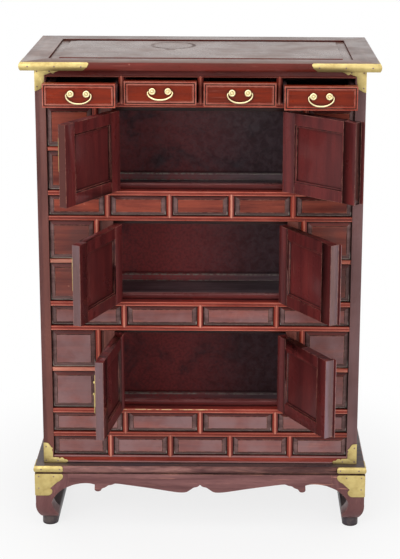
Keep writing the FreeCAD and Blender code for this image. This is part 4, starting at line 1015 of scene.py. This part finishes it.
class CHEST_OT_carcase(bpy.types.Operator):
    """Posts, sides, back and inside boards"""

    bl_idname = "chest.carcase"
    bl_label = "Carcase"

    def execute(self, context):
        soft = context.scene.chest_sizes.soft_edge
        dress("corner_posts", "case_posts", RED, "post_front_lacquer", 1.1 * MM)
        dress("side_panels", "case_sides", RED, "post_lacquer", soft, way=UP)
        dress("carcase_rails", "case_rails", RED, "post_lacquer", soft)

        bm = cad_copy("back_panels")
        mark_boards(bm, "back", Vector((0, 0, 0)))
        grain = bm.verts.layers.float_vector["grain"]
        bm.normal_update()
        outer = {face for face in bm.faces if looks(face, -FRONT)}
        for vert in {vert for face in outer for vert in face.verts}:
            vert[grain] = ALONG
        make_piece(bm, "back_boards", "back_panels", INNER, "inside_wood back_lacquer", soft,
                   choose=lambda face: face in outer)

        dress("floor_boards", "compartment_floors", INNER, "floor_wood", soft, way=ALONG)
        dress("drawer_guides", "guide_strips", INNER, "inside_wood", soft)

        bm = bmesh.new()
        deep, tall = 11 * MM, 17 * MM
        for low, high in solid_boxes("floor_boards")[:3]:
            front = high.y - deep
            verts = block(bm, Vector((low.x, front, high.z)), high + UP * tall)
            front_edge = edges_where(verts, lambda c: near(c.y, front) and c.z > high.z + MM)
            round_over(bm, front_edge, 3 * MM, 3)
        make_piece(bm, "back_battens", None, INNER, "batten_wood", 0.5 * MM, ALONG, "battens")
        return {"FINISHED"}


class CHEST_OT_top(bpy.types.Operator):
    """Mitred top with a bowed edge round a raised panel"""

    bl_idname = "chest.top"
    bl_label = "Top"

    def execute(self, context):
        member, bow, soft = 55 * MM, 3 * MM, 0.4 * MM
        bm = bmesh.new()
        mitred_frame(bm, *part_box("top_frame"), member, bow)
        # Side faces of the top take its dark red edge colour, darkened as painted shade
        make_piece(bm, "top_members", "top_frame", TOP, "top_wood top_edge_lacquer", soft,
                   seed="top frame", choose=lambda face: abs(face.normal.z) < 0.93, smooth=45)

        sunk = 3
        low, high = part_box("top_panel")
        bm = bmesh.new()
        face = face_towards(block(bm, low, high - UP * sunk * MM), UP)
        step_in(bm, face, 20)
        step_in(bm, face, 1.2, sunk, UP)
        make_piece(bm, "top_raised_panel", "top_panel", TOP, "top_field_wood top_edge_lacquer",
                   soft, ALONG, "top panel", lambda face: abs(face.normal.z) < 0.9, smooth=30)
        return {"FINISHED"}


# Left half of the front apron's lower edge: x, z, rounding of the corner
APRON_SCROLL = ((-283.7, 104.5, 4), (-268, 107.9, 5), (-254.5, 108.8, 4.5), (-244, 107.8, 3),
                (-235.5, 105.4, 0.4), (-236.3, 91.8, 2.6), (-231, 88.6, 2.4), (-223.5, 89.2, 3),
                (-218.8, 96.4, 2.2), (-212, 98.4, 2), (-205.6, 103.4, 1.8), (-197, 104.8, 2.4),
                (-190.5, 107.9, 1.6), (-180, 107.2, 2), (-143, 102, 9), (-104, 96.2, 9),
                (-77, 91.6, 9), (-56, 88.2, 7), (-42, 86.9, 6), (-30, 87.8, 5), (-21.7, 93.8, 3),
                (-14.2, 99.4, 2.6), (-7.6, 100.2, 2), (-3.4, 102.6, 1), (0, 106.2, 0))


class CHEST_OT_stand(bpy.types.Operator):
    """Ledge, scrolled aprons, bracket legs and runners"""

    bl_idname = "chest.stand"
    bl_label = "Stand"

    def execute(self, context):
        # The ledge's faces that look up take the darker painted shade
        dress("stand_ledge", "ledge_members", STAND, "ledge_lacquer ledge_top_lacquer", 0.8 * MM,
              seed="ledge", choose=lambda face: looks(face, UP))

        bm = cad_copy("stand_aprons")
        low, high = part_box("stand_aprons")
        front_apron = next(g for g in islands(bm) if max(v.co.y for v in g) < low.y + 30 * MM)
        thick = max(v.co.y for v in front_apron) - low.y
        end = max(v.co.x for v in front_apron) / MM
        bmesh.ops.delete(bm, geom=front_apron, context="VERTS")
        scroll = [(-end, high.z / MM, 0), (-end, 100, 0), *APRON_SCROLL]
        scroll += [(-x, z, soft) for x, z, soft in reversed(scroll[:-1])]
        add_plate(bm, scroll, thick, Matrix.Translation((0, low.y, 0)))
        make_piece(bm, "scrolled_aprons", "stand_aprons", STAND, "stand_lacquer", 0.9 * MM,
                   seed="aprons")

        dress("stand_legs", "bracket_legs", STAND, "stand_lacquer", 1.0 * MM)
        dress("stand_runners", "runner_bars", STAND, "runner_wood", 2.0 * MM)
        return {"FINISHED"}


class CHEST_OT_doors(bpy.types.Operator):
    """Door frames with their inner beads, and the panels in them"""

    bl_idname = "chest.doors"
    bl_label = "Doors"

    def execute(self, context):
        soft = context.scene.chest_sizes.soft_edge
        bead_width = 5 * MM
        for door in (f"door_{word}" for word in DOORS):
            bm = cad_copy(door + "_frame")
            width = sum(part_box(door + "_panel"), Vector()) / 2 - joint_place(door + "_hinge")[0]
            width.z = 0
            width.normalize()
            ways = (width, Vector((-width.y, width.x, 0)), UP)
            beads = set()
            for member in islands(bm):
                reaches = [[v.co.dot(way) for v in member] for way in ways]
                if sorted(max(reach) - min(reach) for reach in reaches)[1] < bead_width:
                    beads.update(faces_of(member))
            # Door beads take a painted highlight, the faces along the door's width the grey painted
            # sheen of the edges
            piece = make_piece(bm, door + "_framing", door + "_frame", RED,
                               "door_lacquer door_edge_lacquer door_bead_lacquer", soft, seed=door,
                               choose=lambda f: 2 if f in beads else looks(f, width, 0.95))
            piece.modifiers.new("flat_faces", "WEIGHTED_NORMAL").keep_sharp = True
            dress(door + "_panel", door + "_field", RED, "door_panel_lacquer", soft, way=UP)
        return {"FINISHED"}


# Moulding of a drawer front from its rim to its field: step inwards, step forwards
DRAWER_MOULDING = ((2.6, 0), (0.6, -1.6), (1.3, 0), (0.6, 1.8), (2.8, 0), (1.0, -1.8))


class CHEST_OT_drawers(bpy.types.Operator):
    """Drawer fronts with a fillet and a bead round a sunk field, and their boxes"""

    bl_idname = "chest.drawers"
    bl_label = "Drawers"

    def execute(self, context):
        for word in DRAWERS:
            drawer = f"drawer_{word}"
            low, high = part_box(drawer + "_front")
            bm = bmesh.new()
            field_face = face_towards(block(bm, low - FRONT * 0.3 * MM, high), FRONT)
            for inward, forward in DRAWER_MOULDING:
                step_in(bm, field_face, inward, forward)

            # The rim and bead take a painted highlight with rubbing, the floor of the groove dark
            # painted shade
            def field_bead_or_quirk(face):
                if not looks(face, FRONT) or face == field_face:
                    return 0
                return 1 if face.calc_center_median().y < low.y + 0.5 * MM else 2

            make_piece(bm, drawer + "_moulded_front", drawer + "_front", RED,
                       "drawer_lacquer drawer_bead_lacquer quirk_lacquer", 0.4 * MM, ALONG,
                       "front " + word, field_bead_or_quirk, smooth=25)
            dress(drawer + "_box", drawer + "_carcase", INNER, "drawer_side_wood", 0.6 * MM)
        return {"FINISHED"}


# Left half of a drawer bail from its tip, and of a door pull: x, z, handles, thickness
DRAWER_BAIL = ((-13.2, 0, (-1, 0), (-3, 0), 0.8), (-22.4, -0.4, (2.5, 0.3), (-2.6, -0.3), 0.95),
               (-26.0, -5.2, (-0.2, 2.6), (0.3, -6.6), 1.0),
               (-14.6, -18.4, (-5.0, 2.6), (4.6, -2.2), 1.12),
               (0, -21.3, (-5.6, 0), (5.6, 0), 1.25))
DOOR_PULL = ((-0.8, 0, (-0.3, 0), (-0.8, 0), 0.85), (-3.3, -0.5, (0.9, 0.4), (-0.9, -0.4), 0.95),
             (-4.7, -3.6, (0, 1.2), (0, -9), 1.0), (-4.9, -34, (0, 8), (0, -4.6), 1.1),
             (0, -41.6, (-3.4, 0), (3.4, 0), 1.25))
# A post's round cap, as shares of its radius and rise: a rolled rim, a dark groove and a knob
CAP = ((0, 1.0), (0.12, 0.98), (0.24, 0.8), (0.3, 0.42), (0.42, 0.34), (0.5, 0.42), (0.58, 0.72),
       (0.68, 0.88), (0.8, 0.84), (0.92, 0.62), (1.0, 0.3), (0.97, 0.05), (0, 0.0))


class CHEST_OT_bails(bpy.types.Operator):
    """Drawer bails on rolled caps, and the hanging pulls of the doors"""

    bl_idname = "chest.bails"
    bl_label = "Bails and pulls"

    def execute(self, context):
        cap_radius, cap_rise, stem = 7.5, 3.3, 2.7 * MM
        for word in DRAWERS:
            spot = joint_place(f"bail_{word}_swing")[0]
            lifted = math.radians(42) if word == "two" else 0.0
            bm = wire_mesh(DRAWER_BAIL, 1.55)
            bmesh.ops.transform(bm, verts=bm.verts, matrix=Matrix.Translation(spot)
                                @ Matrix.Rotation(-lifted, 4, "X"))
            make_piece(bm, f"drawer_{word}_wire_bail", f"drawer_{word}_bail", BRASS, "bail_brass",
                       smooth=60)
            bm = bmesh.new()
            for low, high in solid_boxes(f"drawer_{word}_pull_posts"):
                x, _, z = (low + high) / 2
                verts = block(bm, Vector((x - stem, low.y + 1.6 * MM, z - stem)),
                              Vector((x + stem, high.y, z + stem)))
                round_over(bm, edges_where(verts, lambda c: True), 0.5 * MM, 2)
                cap = turned(bm, [(r * cap_radius, h * cap_rise) for r, h in CAP])
                bmesh.ops.translate(bm, vec=(x, low.y + 3.35 * MM, z), verts=cap)
            make_piece(bm, f"drawer_{word}_capped_posts", f"drawer_{word}_pull_posts", BRASS,
                       "bail_brass", smooth=50)
        for door in DOORS:
            spot, axis = joint_place(f"pull_{door}_swing")
            bm = wire_mesh(DOOR_PULL, 1.2)
            turn = ALONG.rotation_difference(axis).to_matrix().to_4x4()
            bmesh.ops.transform(bm, verts=bm.verts, matrix=Matrix.Translation(spot) @ turn)
            make_piece(bm, f"door_{door}_wire_pull", f"door_{door}_pull", BRASS, "mount_brass",
                       smooth=60)
        return {"FINISHED"}


# Corner plates: distance in from the corner, distance away from its end, corner rounding
LEG_PLATE = ((0, 0, 3.5), (62, 0, 4.5), (62, 9.5, 3), (53, 18, 3), (50, 18.6, 0.6),
             (33, 34.5, 0.5), (38, 39.5, 3.2), (37, 46, 3), (31, 52, 4), (0, 52, 1.2))
LOWER_BRACKET = ((0, 0, 0.8), (51, 0, 2.4), (55, 4, 2.4), (50.5, 8.4, 1.5), (46.5, 7.4, 0.5),
                 (43, 12.5, 2.4), (37.5, 12, 1.8), (35.5, 9.6, 0.4), (33, 12.8, 0.8),
                 (20.5, 12.8, 0.6), (20.5, 27, 1.8), (18.2, 30.2, 0.4), (21.4, 34, 1.9),
                 (16.5, 37.4, 1.2), (14, 42.4, 2.8), (10, 47.4, 2.8), (0, 48, 1.6))
UPPER_BRACKET = ((0, 0, 0.6), (53, 0, 0.8), (51, 4.5, 1.6), (45, 6.6, 0.8), (39, 11, 2.0),
                 (34.5, 8, 0.5), (27.5, 11.5, 1.5), (20.5, 13.5, 0.5), (19.8, 28.6, 1.0),
                 (17.8, 31, 0.4), (22.6, 33.6, 1.5), (21, 38, 1.8), (12, 43, 2.0), (6, 46.6, 1.0),
                 (0, 48, 0.8))
# Cuts that shape the end of a top strap: from and to, as distance in from the end and down
STRAP_CUTS = (((0.4, 1), (4, 9.5)), ((4, 9.5), (15, 19)))


def corner_matrix(spot, across, down, along_side=False):
    """Where a plate goes: its corner, which way it reaches in, and which way up or down."""
    if along_side:
        turn = Matrix(((0, -across, 0), (1, 0, 0), (0, 0, down)))
    else:
        turn = Matrix(((across, 0, 0), (0, 1, 0), (0, 0, down)))
    return Matrix.Translation(spot) @ turn.to_4x4()


class CHEST_OT_mounts(bpy.types.Operator):
    """Straps and plates at the corners, their nails, and the hinges"""

    bl_idname = "chest.mounts"
    bl_label = "Brass mounts"

    def execute(self, context):
        soft = context.scene.chest_sizes.brass_edge
        thick, strap_height = 1.2 * MM, 18
        bm = cad_copy("corner_brass")
        case_low, case_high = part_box("corner_posts")
        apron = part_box("stand_aprons")[0]
        ledge_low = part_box("stand_ledge")[0].z
        for strap in islands(bm):
            levels = [v.co.z for v in strap]
            if min(levels) > case_high.z - MM:
                way = -1 if strap[0].co.x > 0 else 1
                end = max(v.co.x * way for v in strap) * way
                for first, second in STRAP_CUTS:
                    point = Vector((end - first[0] * MM * way, 0,
                                    case_high.z + (strap_height - first[1]) * MM))
                    outward = Vector(((second[1] - first[1]) * way, 0, first[0] - second[0]))
                    strap = close_cut(bm, strap, point, outward.normalized())
            elif not (min(levels) > ledge_low and max(levels) < case_low.z + MM):
                bmesh.ops.delete(bm, geom=strap, context="VERTS")
        for way in (-1, 1):
            case_x = case_low.x if way > 0 else case_high.x
            front = case_low.y - thick
            leg_corner = (apron.x * way, apron.y - thick, ledge_low)
            for plate, matrix in (
                    (LOWER_BRACKET, corner_matrix((case_x, front, case_low.z), way, 1)),
                    (UPPER_BRACKET, corner_matrix((case_x, front, case_high.z), way, -1)),
                    (LEG_PLATE, corner_matrix(leg_corner, way, -1)),
                    (LEG_PLATE, corner_matrix(leg_corner, way, -1, along_side=True))):
                add_plate(bm, plate, thick, matrix)
        make_piece(bm, "corner_mounts", "corner_brass", BRASS, "mount_brass", soft, seed="mounts")

        dress("jamb_hinges", "hinge_halves", BRASS, "mount_brass", soft)
        for door in DOORS:
            dress(f"door_{door}_fittings", f"door_{door}_plates", BRASS, "mount_brass", soft)

        bm = bmesh.new()
        for low, high in solid_boxes("brass_nails"):
            size = high - low
            thin = min(range(3), key=lambda i: size[i])
            middle = (low + high) / 2
            middle[thin] = high[thin] if thin == 1 or low.x < 0 else low[thin]
            radii = size / 2
            radii[thin] = size[thin]
            verts = bmesh.ops.create_uvsphere(bm, u_segments=12, v_segments=8, radius=1.0)["verts"]
            bmesh.ops.scale(bm, vec=radii, verts=verts)
            bmesh.ops.translate(bm, vec=middle, verts=verts)
        make_piece(bm, "domed_nails", "brass_nails", BRASS, "nail_brass", smooth=60)
        return {"FINISHED"}


# Studio: each lamp's place, the point it looks at, its size and its power
LAMPS = {
    "key_lamp": ((-1.8, -2.9, 1.9), (0, 0, 0.55), 2.8, 65),
    "fill_lamp": ((1.9, -3.0, 1.7), (0, 0, 0.5), 3.0, 31),
    "top_lamp": ((0.0, -0.7, 3.0), (0, 0, 0.6), 1.8, 22),
}
WHITE = (1, 1, 1, 1)


def seen_as_backdrop(tree):
    """1 for a ray of the camera, a reflection or glass, and 0 for light that falls on things."""
    path = place(tree, "ShaderNodeLightPath").outputs
    camera, glossy, through = (Field(tree, path[f"Is {kind} Ray"])
                               for kind in ("Camera", "Glossy", "Transmission"))
    return camera.most(glossy).most(through)


class CHEST_OT_stage(bpy.types.Operator):
    """Floor, white surroundings, lamps and camera"""

    bl_idname = "chest.stage"
    bl_label = "Studio"

    def execute(self, context):
        scene = context.scene
        bm = bmesh.new()
        bmesh.ops.create_grid(bm, x_segments=1, y_segments=1, size=6.0)
        floor = link("studio_floor", mesh_of(bm, "studio_floor"))
        tree = new_finish("pale_floor")
        paper = field(tree, "ShaderNodeBsdfPrincipled",
                      {"Base Color": (*display(246, 246, 246), 1.0), "Roughness": 0.8,
                       "Specular IOR Level": 0.1})
        reach = here(tree).vector("LENGTH", out="Value")
        white = reach.ramp(0.3, 0.85, 0.8, 1.0) * seen_as_backdrop(tree)
        glow = field(tree, "ShaderNodeEmission", {"Color": WHITE, "Strength": 1.0})
        place(tree, "ShaderNodeOutputMaterial", {0: white.feed("ShaderNodeMixShader", paper, glow)})
        floor.data.materials.append(bpy.data.materials["pale_floor"])

        world = scene.world = bpy.data.worlds.new("white_studio")
        world.use_nodes = True
        tree = world.node_tree
        tree.nodes.clear()
        strength = seen_as_backdrop(tree).ramp(0.0, 1.0, 0.38, 1.0)
        sky = field(tree, "ShaderNodeBackground", {"Color": WHITE, "Strength": strength})
        place(tree, "ShaderNodeOutputWorld", {0: sky})

        for name, (spot, aim, size, power) in LAMPS.items():
            lamp = bpy.data.lights.new(name, "AREA")
            lamp.shape = "SQUARE"
            lamp.size, lamp.energy = size, power
            holder = link(name, lamp)
            holder.location = spot
            look = Vector(aim) - Vector(spot)
            holder.rotation_euler = look.to_track_quat("-Z", "Y").to_euler()

        focal_pixels, picture_height, sensor = 1503, 559, 36.0
        lens = bpy.data.cameras.new("photo_camera")
        camera = scene.camera = link("photo_camera", lens)
        lens.sensor_width = sensor
        lens.lens = focal_pixels / picture_height * sensor
        lens.shift_x, lens.shift_y = -0.056, -0.18
        lens.dof.use_dof = False
        camera.location = (0.0661, -3.3039, 1.5575)
        pitch = Matrix.Rotation(math.radians(90 - 13.52), 3, "X")
        camera.rotation_euler = (pitch @ Matrix.Rotation(0.0056, 3, "Z")).to_euler()
        scene.view_settings.view_transform = "Standard"
        return {"FINISHED"}


class CHEST_PT_panel(bpy.types.Panel):
    """Lists the pieces of the chest"""

    bl_label = "Red lacquered chest"
    bl_idname = "CHEST_PT_panel"
    bl_space_type = "VIEW_3D"
    bl_region_type = "UI"
    bl_category = "Chest"

    def draw(self, context):
        for operator in OPERATORS:
            self.layout.operator(operator.bl_idname)


OPERATORS = (CHEST_OT_finishes, CHEST_OT_lattice, CHEST_OT_panels, CHEST_OT_carcase, CHEST_OT_top,
             CHEST_OT_stand, CHEST_OT_doors, CHEST_OT_drawers, CHEST_OT_bails, CHEST_OT_mounts,
             CHEST_OT_stage)
CLASSES = (ChestColours, ChestSizes, *OPERATORS, CHEST_PT_panel)


def register():
    """Register the classes and the scene's settings."""
    for each in CLASSES:
        bpy.utils.register_class(each)
    bpy.types.Scene.chest_colours = PointerProperty(type=ChestColours)
    bpy.types.Scene.chest_sizes = PointerProperty(type=ChestSizes)


def unregister():
    """Take them away again."""
    del bpy.types.Scene.chest_sizes
    del bpy.types.Scene.chest_colours
    for each in reversed(CLASSES):
        bpy.utils.unregister_class(each)


def main():
    """Build every piece in order."""
    register()
    for operator in OPERATORS:
        family, word = operator.bl_idname.split(".")
        getattr(getattr(bpy.ops, family), word)()


if __name__ == "__main__":
    main()
